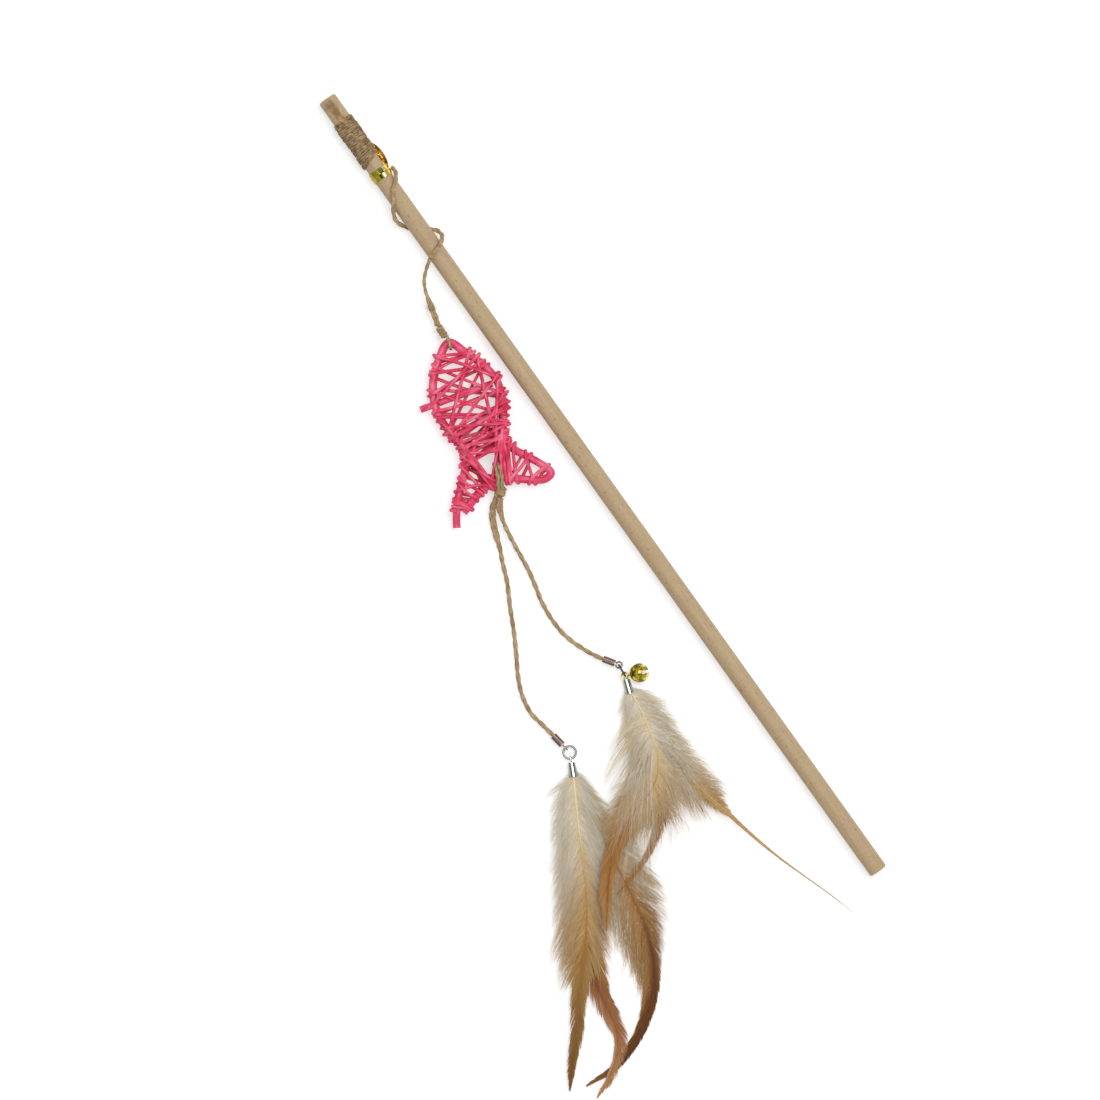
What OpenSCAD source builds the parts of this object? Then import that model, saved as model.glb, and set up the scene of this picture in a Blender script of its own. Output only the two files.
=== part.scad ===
// Cat teaser wand: a beech dowel with a lure of a wicker fish, two feather tassels and a jingle bell.
// The origin is the centre of the butt end, on the dowel's axis. +X runs to the tip, +Y to the lure side,
// and +Z up from the table that the wand lies on.

/* [Rod] */
// Length of the dowel
rod_l = 400; // [396:1:410]
// Diameter of the dowel
rod_d = 8; // [7.8:0.1:8.2]
// Chamfer at both ends of the dowel
rod_edge = 0.5; // [0.2:0.1:1]

/* [Tip binding] */
// Diameter of the jute strand of the binding
bind_d = 1.35; // [1:0.05:1.5]
// Distance from one turn of the binding to the next
bind_pitch = 1.85; // [1.8:0.05:2.1]
// Turns of the binding
bind_turns = 11; // [6:1:12]
// Bare dowel left at the tip
bind_bare = 11.4; // [9:0.1:14]

/* [Metal tie] */
// Width of the metal band
tie_w = 4.5; // [3:0.1:6]
// Thickness of the metal band
tie_t = 0.35; // [0.2:0.05:0.6]
// Distance from the tip to the middle of the band
tie_back = 39; // [36.5:0.1:40]
// Length of the strip left over at the twist
tie_tail_l = 12; // [9:0.5:13]
// Height of the strip left over at the twist
tie_tail_h = 3.2; // [2:0.1:4]

/* [Twine] */
// Diameter of the upper twine
twine_d = 1.6; // [1.4:0.05:1.7]
// Diameter of the two lower strings
string_d = 2; // [1.8:0.05:2.1]
// Diameter of the knot at the tail, where the strings start
tail_knot_d = 4.8; // [4.2:0.1:5.4]
// Length of the knot at the tail
tail_knot_l = 3; // [2:0.1:3.6]
// Diameter of the knot at the nose
nose_knot_d = 3.2; // [2.4:0.1:3.8]
// Diameter of the small knot on the upper twine
twine_knot_d = 3.4; // [3.2:0.1:4]
// Length of the small knot on the upper twine
twine_knot_l = 2.6; // [1.6:0.1:3]

/* [Fish] */
// Length from the nose to the middle of the tail
fish_l = 64; // [63:0.5:65]
// Width across the two side canes
fish_w = 30; // [29:0.5:32]
// Diameter of the frame cane
cane_d = 3.5; // [3.3:0.1:3.6]
// Diameter of the winding cane
wind_d = 1.5; // [1.3:0.05:1.6]
// Diameter of the cane across the body
cross_d = 3; // [2:0.1:3.2]
// Loops of the first layer round the body; the second layer has one less
body_loops = 7; // [5:1:7]
// Loops round each fin
fin_loops = 4; // [3:1:4]

/* [Cord ends] */
// Length of the folded metal end
crimp_l = 5.4; // [4:0.1:6]
// Wall of the folded metal end
crimp_wall = 0.3; // [0.2:0.05:0.4]
// Distance from the folded end to the middle of its eye
crimp_neck = 1.8; // [1.75:0.05:2]

/* [Rings and eyes] */
// Outer diameter of the jump rings
ring_d = 6.2; // [6:0.1:6.4]
// Wire of the jump rings
ring_wire = 0.9; // [0.7:0.05:0.95]
// Bore of the small eyes
eye_bore = 1.9; // [1.7:0.1:2]
// Wire of the small eyes
eye_wire = 0.7; // [0.5:0.05:0.8]

/* [Feather caps] */
// Length of the feather caps
cap_l = 6; // [5:0.1:7]
// Diameter of the feather caps at the top
cap_top_d = 3.2; // [3:0.1:3.4]
// Mouth of the left feather cap
cap_mouth_d = 4.3; // [4:0.1:4.5]
// Mouth of the right feather cap
small_mouth_d = 3.9; // [3.6:0.1:4.2]
// Wall of the feather caps
cap_wall = 0.3; // [0.2:0.05:0.4]
// Distance from the eye's middle to the top of the cap
cap_neck = 1.7; // [1.7:0.1:2]

/* [Feathers] */
// Quill diameter
quill_d = 0.9; // [0.7:0.05:0.9]
// Length of the straight left feather
left_long_l = 135; // [120:1:140]
// Length of the curled left feather
left_curl_l = 142; // [130:1:150]
// Length of the dark left feather
left_dark_l = 151; // [140:1:155]
// Length of the brown right feather
right_brown_l = 110; // [100:1:115]
// Length of the right feather with the bare tip
right_bare_l = 135; // [120:1:140]
// Length of the narrow right feather
right_narrow_l = 94; // [80:1:98]
// Widest half vane of the left feathers
left_vane = 12; // [8:0.5:14]
// Widest half vane of the right feathers
right_vane = 12; // [8:0.5:14]

/* [Bell] */
// Outer diameter of the bell
bell_d = 8.2; // [8:0.1:8.3]
// Wall of the bell
bell_wall = 0.35; // [0.25:0.05:0.5]
// Width of the slit
slit_w = 1.2; // [0.8:0.1:1.6]
// Diameter of the holes that end the slit
slit_hole_d = 1.9; // [1.4:0.1:2.2]
// Diameter of the loose pellet
pellet_d = 2.6; // [2.4:0.1:3]

/* [Hidden] */
$fn = 48;

// Running gap between pieces that move, and the smaller gap between pieces that are seated
clear = 0.3;
seat = 0.15;
// Overrun of a cut past the faces that it opens
over = 0.2;

// The table lies one strand under the dowel, where the twine passes below it
wrap_r = rod_d / 2 + seat + twine_d / 2;
table_z = -(wrap_r + twine_d / 2);

// Heights above the table where the two tassels and the bell hang, and the lowest height of a string
left_z = table_z + cap_mouth_d / 2;
right_z = table_z + ring_d / 2;
low_z = table_z + string_d / 2;

// Vector helpers
function unit(v) = v / norm(v);
function mix(a, b, u) = a + (b - a) * u;
function clamp(v, low, high) = min(max(v, low), high);

// A point of the smooth curve through a list of points, in segment i at share u of it
function curve_point(p, i, u) =
  let (a = p[max(i - 1, 0)], b = p[i], c = p[i + 1], d = p[min(i + 2, len(p) - 1)])
  0.5 * (2 * b + (c - a) * u + (2 * a - 5 * b + 4 * c - d) * u * u
    + (3 * b - a - 3 * c + d) * u * u * u);
function curve(p, steps) = concat(
  [for (i = [0 : len(p) - 2]) for (j = [0 : steps - 1]) curve_point(p, i, j / steps)],
  [p[len(p) - 1]]);

// The entry of a list of points or values that lies at a share of the list
function entry(p, u) = clamp(floor(u * (len(p) - 1)), 0, len(p) - 2);
function place(p, u) = let (i = entry(p, u)) mix(p[i], p[i + 1], u * (len(p) - 1) - i);

// Directions along a path, and a normal that is carried along it without twist
function heading_at(p, i) = unit(p[min(i + 1, len(p) - 1)] - p[max(i - 1, 0)]);
function squared(n, t) = unit(n - (n * t) * t);
function normals(p, first) =
  [for (i = 0, n = squared(first, heading_at(p, 0)); i < len(p);
    i = i + 1, n = i < len(p) ? squared(n, heading_at(p, i)) : n) n];

// A closed skin over rings of points, with flat ends
module skin(points, sides) {
  rings = len(points) / sides;
  last = (rings - 1) * sides;
  walls = [for (i = [0 : rings - 2]) for (k = [0 : sides - 1])
    let (a = i * sides + k, b = i * sides + (k + 1) % sides)
    each [[a, a + sides, b], [b, a + sides, b + sides]]];
  ends = [for (k = [1 : sides - 2])
    each [[0, k, k + 1], [last, last + k + 1, last + k]]];
  polyhedron(points = points, faces = concat(walls, ends), convexity = 10);
}

// A round tube along a path. The radius is one value, or one for each point.
module tube(p, radius, sides, first) {
  n = normals(p, first);
  skin([for (i = [0 : len(p) - 1]) for (k = [0 : sides - 1])
    let (t = heading_at(p, i), a = 360 * k / sides, r = is_list(radius) ? radius[i] : radius)
    p[i] + r * (cos(a) * n[i] + sin(a) * cross(t, n[i]))], sides);
}

// A cord that starts in a dome, so that it can turn about its first point
dome_shares = [[0.92, 0.38], [0.6, 0.8]];
cord_sides = 8;
module cord(p, d) {
  starts = [for (s = dome_shares) p[0] - heading_at(p, 0) * (s[0] * d / 2)];
  radii = concat([for (s = dome_shares) s[1] * d / 2], [for (q = p) d / 2]);
  tube(concat(starts, p), radii, cord_sides, [0, 0, 1]);
}

// The least gap of a strand to itself. Each step of the path is split, and places less than skip apart
// along the path are not compared.
gap_split = 3;
function split(p) = concat(
  [for (i = [0 : len(p) - 2]) for (j = [0 : gap_split - 1]) mix(p[i], p[i + 1], j / gap_split)],
  [p[len(p) - 1]]);
function gap_of(p, skip, d) = min([for (i = [0 : len(p) - 1 - skip])
  min([for (j = [i + skip : len(p) - 1]) norm(p[i] - p[j])])]) - d;
function least_gap(p, skip, d) = gap_of(split(p), skip * gap_split, d);
function straight_ends(p, d) = concat([p[0] - heading_at(p, 0) * d], p,
  [p[len(p) - 1] + heading_at(p, len(p) - 1) * d]);

// ROD AND WHAT IS FIXED TO IT

module rod() {
  r = rod_d / 2;
  color("burlywood")
    rotate([0, 90, 0])
      rotate_extrude()
        polygon([[0, 0], [r - rod_edge, 0], [r, rod_edge], [r, rod_l - rod_edge],
          [r - rod_edge, rod_l], [0, rod_l]]);
}

// The binding is one strand wound round the dowel
bind_rings = 16;
strand_sides = 6;
bind_r = rod_d / 2 + seat + bind_d / 2;
bind_x = rod_l - bind_bare - bind_pitch * bind_turns;
function bind_path() = straight_ends([for (i = [0 : bind_turns * bind_rings])
  let (a = 360 * i / bind_rings)
  [bind_x + bind_pitch * i / bind_rings, bind_r * sin(a), bind_r * cos(a)]], bind_d);

module tip_binding() {
  p = bind_path();
  echo(tip_binding_least_gap = least_gap(p, 4, bind_d));
  color("tan")
    tube(p, bind_d / 2, strand_sides, [1, 0, 0]);
}

// The frayed end of the binding lies along the top of the dowel, up to the tip face.
// Each entry is the share of the bare dowel and the turn from the top towards +Y.
fray_shares = [[0.02, 12], [0.2, 18], [0.4, 28], [0.6, 34], [0.8, 34], [0.96, 28]];
module binding_tail() {
  start = rod_l - bind_bare + bind_d + clear;
  p = [for (s = fray_shares)
    [mix(start, rod_l, s[0]), bind_r * sin(s[1]), bind_r * cos(s[1])]];
  color("tan")
    tube(p, bind_d / 2, cord_sides, [0, 0, 1]);
}

// The metal tie is a flat band with a pressed rib along its middle
tie_x = rod_l - tie_back;
rib_share = 0.5;
rib_width_share = 0.2;
module gold_tie_band() {
  r = rod_d / 2 + seat;
  outer = r + tie_t;
  rib = outer + tie_t * rib_share;
  foot = tie_w * (1 - rib_width_share) / 2;
  edge = tie_t * rib_share;
  color("gold")
    translate([tie_x - tie_w / 2, 0, 0])
      rotate([0, 90, 0])
        rotate_extrude()
          polygon([[r, 0], [outer, 0], [outer, foot], [rib, foot + edge],
            [rib, tie_w - foot - edge], [outer, tie_w - foot], [outer, tie_w], [r, tie_w]]);
}

// The strip left over at the twist stands on edge and bows away from the dowel
tie_bow_turn = 60;
module gold_tie_tail() {
  bow_r = tie_tail_l / 2 / sin(tie_bow_turn / 2);
  near = rod_d / 2 + seat + max(bind_d, tie_t * 2) + clear;
  color("goldenrod")
    translate([tie_x + tie_tail_l / 2, bow_r * cos(tie_bow_turn / 2) - near, -tie_tail_h / 2])
      rotate([0, 0, -90 - tie_bow_turn / 2])
        rotate_extrude(angle = tie_bow_turn)
          translate([bow_r - tie_t, 0])
            square([tie_t, tie_tail_h]);
}

// The twine winds round the dowel, from the tie to where it leaves for the fish.
// Each entry is the way back from the tie, the turn from the top towards +Y, and the lift off the dowel.
wrap_route = [[3.0, -80, 0.9], [5.4, -50, 0.5], [7.8, -15, 0.3], [11.5, 18, 0.3], [15.5, 55, 0.5],
  [19.5, 86, 1.2], [23.0, 115, 0.6], [25.6, 145, 0.2], [28.2, 180, 0.0], [30.4, 215, 0.2],
  [32.6, 248, 0.8], [35.8, 274, 1.2], [38.2, 310, 0.5], [39.6, 352, 0.3], [40.8, 398, 0.3]];
wrap_steps = 3;
module twine_wrap() {
  p = [for (q = curve(wrap_route, wrap_steps))
    let (r = wrap_r + q[2]) [tie_x - q[0], r * sin(q[1]), r * cos(q[1])]];
  color("tan")
    tube(p, twine_d / 2, cord_sides, [1, 0, 0]);
}

// FISH

// The fish's own frame starts at its nose: x runs to the tail, y to the dowel's side, z up.
// Its lowest winding just clears the table.
nose = [288.3, 17.1];
fish_turn = 164.6;
wind_r = (cane_d + wind_d) / 2 + seat + clear / 6;
layer_lift = wind_d + clear * 2.2;
fish_z = table_z + wind_r + layer_lift + wind_d / 2 + clear / 6;
module in_fish() {
  translate([nose[0], nose[1], fish_z])
    rotate([0, 0, fish_turn])
      children();
}

// The frame is one bent cane. It starts in the cut end of the left fin, runs up the left side, bends at the
// nose, comes down the right side and round the right fin, and ends beside its start.
// Places are shares of the fish's length and of half its width.
frame_shares = [[1.195, -1.6], [1.117, -1.493], [1.023, -1.3], [0.906, -0.973], [0.813, -0.707],
  [0.727, -0.613], [0.625, -0.793], [0.508, -0.953], [0.391, -0.993], [0.281, -0.893], [0.18, -0.667],
  [0.094, -0.373], [0.037, -0.127], [0.042, 0.07], [0.133, 0.333], [0.234, 0.64], [0.359, 0.867],
  [0.492, 0.86], [0.625, 0.687], [0.734, 0.48], [0.836, 0.667], [0.93, 1.027], [1.016, 1.32],
  [1.069, 1.42], [1.091, 1.213], [1.081, 1.0], [1.045, 0.633], [0.994, 0.2], [0.994, -0.2],
  [1.02, -0.6], [1.075, -0.947], [1.109, -1.17]];
frame_steps = 2;
frame_path = curve([for (s = frame_shares) [s[0] * fish_l, s[1] * fish_w / 2, 0]], frame_steps);

module fish_frame_cane() {
  color("hotpink")
    in_fish()
      tube(frame_path, cane_d / 2, cord_sides, [0, 0, 1]);
}

// A shorter cane lies across the body inside the windings, and its cut end stands out past the left side.
// The shares give its place along the fish, and where its two lengths start and end across it.
cross_shares = [[-0.86, 0.73], [-1.42, -1.235]];
cross_place_share = 0.381;
module fish_cross_cane() {
  color("hotpink")
    in_fish()
      for (s = cross_shares)
        translate([cross_place_share * fish_l, s[0] * fish_w / 2, 0])
          rotate([-90, 0, 0])
            cylinder(d = cross_d, h = (s[1] - s[0]) * fish_w / 2);
}

// A winding passes over the top from cane a to cane b, turns round b, comes back below and turns round a.
// Canes are lists of points, and their places are shares of those lists. The passes of the second layer
// rise over the first one: each entry is the share of the pass and the share of the rise.
wrap_angles = [45, 90, 135];
pass_shares = [[0, 0], [0.085, 0.7], [0.17, 1], [0.5, 1], [0.83, 1], [0.915, 0.7], [1, 0]];
function pass(a, b, side, rise, low) =
  [for (s = pass_shares) mix(a, b, s[0]) + [0, 0, side * (wind_r + low + (rise - low) * s[1])]];
function outward(p, u, to) =
  let (i = entry(p, u), t = unit(p[i + 1] - p[i]), n = [t[1], -t[0], 0])
  n * to > 0 ? n : -n;
function turn_round(c, out, side, low) =
  [for (w = wrap_angles) c + (wind_r + low) * (sin(w) * out + [0, 0, side * cos(w)])];
function loop(a, b, u, across, step, rise, low) =
  let (pa = place(a, u), pb = place(b, u + across), pn = place(a, u + step), to = pb - pa)
  concat(pass(pa, pb, 1, rise, low), turn_round(pb, outward(b, u + across, to), 1, low),
    pass(pb, pn, -1, rise, low), turn_round(pn, outward(a, u + step, -to), -1, low));

// The side canes of the body run from the nose to the waist. Their points come from the frame's path.
function stretch(from, to) = [for (i = [from : from < to ? 1 : -1 : to]) frame_path[i]];
left_side = stretch(22, 9);
right_side = stretch(28, 39);
step_share = 0.116;
inner_start_share = 0.105;
inner_across_share = 0.047;
outer_start_share = 0.858;
outer_across_share = -0.067;
function body_winding_path() = straight_ends(concat(
  [for (i = [0 : body_loops - 1])
    each loop(left_side, right_side, inner_start_share + i * step_share,
      inner_across_share, step_share, 0, 0)],
  [for (i = [0 : body_loops - 2])
    each loop(left_side, right_side, outer_start_share - i * step_share,
      outer_across_share, -step_share, layer_lift, clear * 3)]), wind_d);

module fish_body_winding() {
  p = body_winding_path();
  echo(body_winding_least_gap = least_gap(p, 4, wind_d));
  color("deeppink")
    in_fish()
      tube(p, wind_d / 2, strand_sides, [1, 0, 0]);
}

// Each fin has its own winding, from the waist towards its end
left_fin = [stretch(9, 1), stretch(56, 61)];
right_fin = [stretch(40, 45), stretch(53, 48)];
left_fin_shares = [0.01, 0.15, 0.18];
right_fin_shares = [0.01, 0.03, 0.2];
function fin_path(fin, s) = straight_ends([for (i = [0 : fin_loops - 1])
  each loop(fin[0], fin[1], s[0] + i * s[2], s[1], s[2], 0, 0)], wind_d);

module left_fin_winding() {
  p = fin_path(left_fin, left_fin_shares);
  echo(left_fin_winding_least_gap = least_gap(p, 4, wind_d));
  color("deeppink")
    in_fish()
      tube(p, wind_d / 2, strand_sides, [1, 0, 0]);
}

module right_fin_winding() {
  p = fin_path(right_fin, right_fin_shares);
  echo(right_fin_winding_least_gap = least_gap(p, 4, wind_d));
  color("deeppink")
    in_fish()
      tube(p, wind_d / 2, strand_sides, [1, 0, 0]);
}

// UPPER TWINE

// The twine leaves the dowel at its first point and ends at the knot on the fish's nose.
// The last number is the share of the way up from the fish's height to the top of the dowel.
twine_route = [[319.8, 3.9, 0.86], [318.6, 5.6, 0.66], [317.2, 7.6, 0.48], [315.5, 9.6, 0.3],
  [313.2, 11.6, 0.15], [310.2, 13.1, 0.05], [306.8, 14.2, 0], [302.8, 15.3, 0], [298.6, 16.3, 0],
  [295.0, 17.5, 0]];
twine_steps = 2;
twine_path = curve([for (q = twine_route) [q[0], q[1], fish_z + q[2] * (rod_d / 2 - fish_z)]], twine_steps);
module upper_twine() {
  color("tan")
    cord(twine_path, twine_d);
}

// A small fuzzy knot sits on the twine half way down
knot_entry = 7;
knot_edge_share = 0.28;
module twine_knot() {
  bore = twine_d / 2 + seat;
  r = twine_knot_d / 2;
  edge = twine_knot_l * knot_edge_share;
  at = twine_path[knot_entry * twine_steps];
  way = heading_at(twine_path, knot_entry * twine_steps);
  color("tan")
    translate(at)
      rotate([0, 0, atan2(way[1], way[0])])
        rotate([0, 90, 0])
          rotate_extrude()
            translate([0, -twine_knot_l / 2])
              polygon([[bore, 0], [r - edge, 0], [r, edge], [r, twine_knot_l - edge],
                [r - edge, twine_knot_l], [bore, twine_knot_l]]);
}

// The loop through the nose ends in the knot that takes the upper twine
function to_fish(p) =
  let (d = [p[0] - nose[0], p[1] - nose[1]])
  [d[0] * cos(fish_turn) + d[1] * sin(fish_turn), d[1] * cos(fish_turn) - d[0] * sin(fish_turn), 0];
nose_entry = 25;
module nose_loop() {
  loop_r = (cane_d + twine_d) / 2 + clear;
  centre = frame_path[nose_entry];
  way = to_fish(twine_path[len(twine_path) - 1]) - centre;
  color("tan")
    in_fish()
      translate(centre) {
        rotate([90, 0, 0])
          rotate_extrude()
            translate([loop_r, 0])
              circle(d = twine_d);
        rotate([0, 0, atan2(way[1], way[0])])
          translate([loop_r, 0, 0])
            rotate([0, 90, 0])
              cylinder(d = nose_knot_d, h = norm(way) - loop_r - clear);
      }
}

// The hitch is two strands that pass round the tail cane, and the knot that both strings leave.
// Places are shares of the fish's length and, for the height, of the cane's and the strand's reach.
hitch_d = twine_d * 1.1;
hitch_shares = [[1.062, 0.15], [1.036, 0.66], [0.994, 1], [0.944, 1.05], [0.9, 0.8], [0.882, 0],
  [0.9, -0.8], [0.944, -1.05], [0.994, -1], [1.036, -0.66], [1.062, -0.15]];
hitch_spread_share = 1.1;
hitch_slope_share = 0.27;
tail_knot_share = [1.066, -0.1];
knot_turn = -33;
module tail_hitch() {
  reach = (cane_d + hitch_d) / 2 + clear;
  color("tan")
    in_fish() {
      for (side = [-0.5, 0.5])
        tube(curve([for (s = hitch_shares)
          [s[0] * fish_l, tail_knot_share[1] * fish_w / 2 + side * hitch_d * hitch_spread_share
            + (tail_knot_share[0] - s[0]) * fish_l * hitch_slope_share, s[1] * reach]], 2),
          hitch_d / 2, cord_sides, [0, 1, 0]);
      translate([tail_knot_share[0] * fish_l, tail_knot_share[1] * fish_w / 2, 0])
        rotate([0, 0, knot_turn])
          translate([-tail_knot_l / 2, 0, 0])
            rotate([0, 90, 0])
              cylinder(d = tail_knot_d, h = tail_knot_l);
    }
}

// STRINGS

// Both strings start at the knot on the tail and end inside their folded metal ends. The last number is the
// share of the way up from the table, to the start's height if it is below zero, else to the end's height.
string_lift = string_d / 2 + seat;
function string_path(route, start_z, end_z) =
  [for (q = route) [q[0], q[1], mix(low_z, q[2] < 0 ? start_z : end_z, abs(q[2]))]];

left_route = [[221.6, 39.2, -1], [220.5, 41.2, -0.86], [218.8, 43.5, -0.66], [215.8, 45.8, -0.4],
  [212.0, 47.6, -0.18], [207.5, 49.4, -0.04], [203.0, 51.0, 0], [197.0, 53.8, 0], [190.9, 56.2, 0],
  [185.8, 58.9, 0], [180.8, 61.7, 0], [171.3, 66.5, 0], [162.0, 71.8, 0], [155.7, 75.6, 0],
  [147.9, 79.1, 0], [139.6, 80.6, 0.2], [133.2, 79.6, 0.7], [128.0, 78.7, 1], [124.7, 78.2, 1],
  [121.4, 77.7, 1]];
left_path = string_path(left_route, fish_z - string_lift, left_z);
module left_string() {
  color("tan")
    cord(left_path, string_d);
}

right_route = [[220.5, 38.2, -1], [218.8, 40.0, -1], [216.2, 41.5, -0.92], [212.0, 43.0, -0.75],
  [206.6, 44.1, -0.5], [198.4, 45.2, -0.16], [189.6, 46.2, 0], [181.2, 48.0, 0], [173.4, 49.8, 0],
  [163.5, 50.4, 0], [155.2, 49.2, 0.1], [147.5, 46.4, 0.5], [141.9, 43.6, 1], [139.2, 41.8, 1],
  [136.5, 40.0, 1]];
right_path = string_path(right_route, fish_z + string_lift, right_z);
module right_string() {
  color("tan")
    cord(right_path, string_d);
}

// METAL FITTINGS

// A piece of metal at a place and heading in plan, at a height
module at_place(place_xy, z, heading) {
  translate([place_xy[0], place_xy[1], z])
    rotate([0, 0, heading])
      children();
}

// A small eye: its axis is z, or y if it stands
eye_r = (eye_bore + eye_wire) / 2;
module eye(stands) {
  rotate([stands ? 90 : 0, 0, 0])
    rotate_extrude()
      translate([eye_r, 0])
        circle(d = eye_wire);
}

// The neck joins an eye at the origin to the plate of a fitting that starts at reach
neck_share = 1.3;
module neck(reach, plate) {
  translate([eye_r, 0, 0])
    rotate([0, 90, 0])
      cylinder(d = eye_wire * neck_share, h = reach + plate / 2 - eye_r);
}

// The folded end of a string: two leaves that are rolled round the string and meet at a seam on top
seam_w = 0.4;
module crimp(stands) {
  bore = string_d / 2 + seat;
  outer = bore + crimp_wall;
  plate = crimp_wall * 1.4;
  eye(stands);
  neck(crimp_neck, plate);
  translate([crimp_neck, 0, 0])
    rotate([0, 90, 0])
      cylinder(r = outer, h = plate);
  difference() {
    translate([crimp_neck, 0, 0])
      rotate([0, 90, 0])
        cylinder(r = outer, h = crimp_l);
    translate([crimp_neck + plate, 0, 0])
      rotate([0, 90, 0])
        cylinder(r = bore, h = crimp_l);
    translate([crimp_neck + plate, -seam_w / 2, 0])
      cube([crimp_l, seam_w, outer + over]);
  }
}

// Where the eyes of the folded ends sit, and their headings from the ring to the string
left_eye = [118.9, 77.3];
left_heading = 8.6;
right_eye = [134.23, 38.49];
right_heading = 33.7;
module left_cord_end() {
  color("rosybrown")
    at_place(left_eye, left_z, left_heading)
      crimp(true);
}
module right_cord_end() {
  color("rosybrown")
    at_place(right_eye, right_z, right_heading)
      crimp(false);
}

// The jump rings are open by a hair where the wire's ends meet. The left one lies flat, the right one stands.
ring_r = (ring_d - ring_wire) / 2;
ring_split = 5;
module jump_ring() {
  rotate([0, 0, ring_split / 2])
    rotate_extrude(angle = 360 - ring_split)
      translate([ring_r, 0])
        circle(d = ring_wire);
}
left_ring_turn = 70;
module left_ring() {
  color("silver")
    at_place(left_eye - ring_r * [cos(left_heading), sin(left_heading)], left_z, left_ring_turn)
      jump_ring();
}
right_ring_heading = 173.2;
right_ring_xy = right_eye + ring_r * [cos(right_ring_heading), sin(right_ring_heading)];
module right_ring() {
  color("silver")
    at_place(right_ring_xy, right_z, right_ring_heading)
      rotate([90, 0, 0])
        rotate([0, 0, 90])
          jump_ring();
}

// FEATHER TASSELS

// A cap is a thin cone that is closed at the top, with a neck and an eye
module cap(mouth_d, stands) {
  eye(stands);
  neck(cap_neck, cap_wall);
  translate([cap_neck, 0, 0])
    rotate([0, 90, 0])
      rotate_extrude()
        polygon([[0, 0], [cap_top_d / 2, 0], [mouth_d / 2, cap_l], [mouth_d / 2 - cap_wall, cap_l],
          [cap_top_d / 2 - cap_wall, cap_wall], [0, cap_wall]]);
}

left_cap_heading = 154;
left_cap_xy = left_eye - ring_r * [cos(left_heading), sin(left_heading)]
  + ring_r * [cos(left_cap_heading), sin(left_cap_heading)];
module in_left_tassel() {
  at_place(left_cap_xy, left_z, left_cap_heading)
    children();
}
module left_feather_cap() {
  color("silver")
    in_left_tassel()
      cap(cap_mouth_d, true);
}

// The right cap's eye sits a little below the ring's middle, and the bell's eye above it
cap_drop = 0.7;
bell_rise = 1;
right_cap_heading = 160.4;
right_cap_xy = right_ring_xy + sqrt(ring_r * ring_r - cap_drop * cap_drop)
  * [cos(right_ring_heading), sin(right_ring_heading)];
module in_right_tassel() {
  at_place(right_cap_xy, right_z - cap_drop, right_cap_heading)
    children();
}
module right_feather_cap() {
  color("silver")
    in_right_tassel()
      cap(small_mouth_d, false);
}

// A feather is a quill with a vane on both sides. Its section has six points: the two edges of the vane,
// and the top and bottom of the quill. The tables hold ten headings at even steps, and the shares of the
// widest half vane on the left and on the right. The feather starts inside the cap, beside its axis,
// holds its height as far as the mouth, and then rises or sinks to its own height.
stations = 23;
hold_l = 5;
rise_l = 20;
tuck = 1.8;
thin_share = 0.5;
function turn_at(turns, u) =
  place(turns, clamp((u * len(turns) - 0.5) / (len(turns) - 1), 0, 1));
function feather_path(length, turns, side, up, level) =
  let (step = length / stations)
  [for (i = 0, p = [0, side, up], h = turn_at(turns, 0); i <= stations;
    p = p + step * [cos(h), sin(h), 0], i = i + 1, h = turn_at(turns, (i + 0.5) / stations))
    [p[0], p[1], mix(up, level, clamp((i * step - hold_l) / rise_l, 0, 1))]];
module feather(cap_end, length, turns, left_shares, right_shares, widest, side, up, level) {
  path = feather_path(length, turns, side, up, level);
  q = quill_d / 2;
  points = [for (i = [0 : stations])
    let (u = i / stations, h = turn_at(turns, u), n = [-sin(h), cos(h), 0],
      z = [0, 0, q * (1 - thin_share * u)],
      l = max(place(left_shares, u) * widest, q * 1.3), r = max(place(right_shares, u) * widest, q * 1.3),
      c = path[i] + [cap_end - tuck, 0, 0])
    each [c + n * l, c + n * q * 0.6 + z, c - n * q * 0.6 + z,
      c - n * r, c - n * q * 0.6 - z, c + n * q * 0.6 - z]];
  skin(points, 6);
}

// Heights of the feathers over the middle of their caps. The left tassel lies below the right one.
left_levels = [1.0, -0.3, -1.45];
right_levels = [5.35, 2.75, 4.05];
quill_spread = 0.7;
left_end = cap_neck + cap_l;
module left_feather_straight() {
  color("wheat")
    in_left_tassel()
      feather(left_end, left_long_l, [-4, -3, -2, -4, -10, -16, -16, -13, -18, -15],
        [0, 0.1, 0.5, 0.75, 0.8, 0.7, 0.45, 0.3, 0.3, 0.02],
        [0, 0.1, 0.6, 0.9, 1, 0.8, 0.5, 0.3, 0.2, 0.02], left_vane, 0, quill_spread, left_levels[0]);
}
module left_feather_curled() {
  color("burlywood")
    in_left_tassel()
      feather(left_end, left_curl_l, [-5, -4, -4, -7, -7, 2, 17, 15, -18, -40],
        [0, 0.1, 0.3, 0.5, 0.6, 0.4, 0.3, 0.3, 0.3, 0.02],
        [0, 0.1, 0.4, 0.6, 0.6, 0.5, 0.3, 0.3, 0.3, 0.02], left_vane,
        -quill_spread, -quill_spread * 0.7, left_levels[1]);
}
module left_feather_dark() {
  color("saddlebrown")
    in_left_tassel()
      feather(left_end, left_dark_l, [12, 15, 17, 18, 13, 2, -15, -32, -46, -69],
        [0, 0.15, 0.4, 0.4, 0.25, 0.15, 0.12, 0.12, 0.1, 0.02],
        [0, 0.2, 0.6, 0.9, 1, 0.7, 0.5, 0.35, 0.25, 0.02], left_vane,
        quill_spread, -quill_spread * 0.7, left_levels[2]);
}

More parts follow.
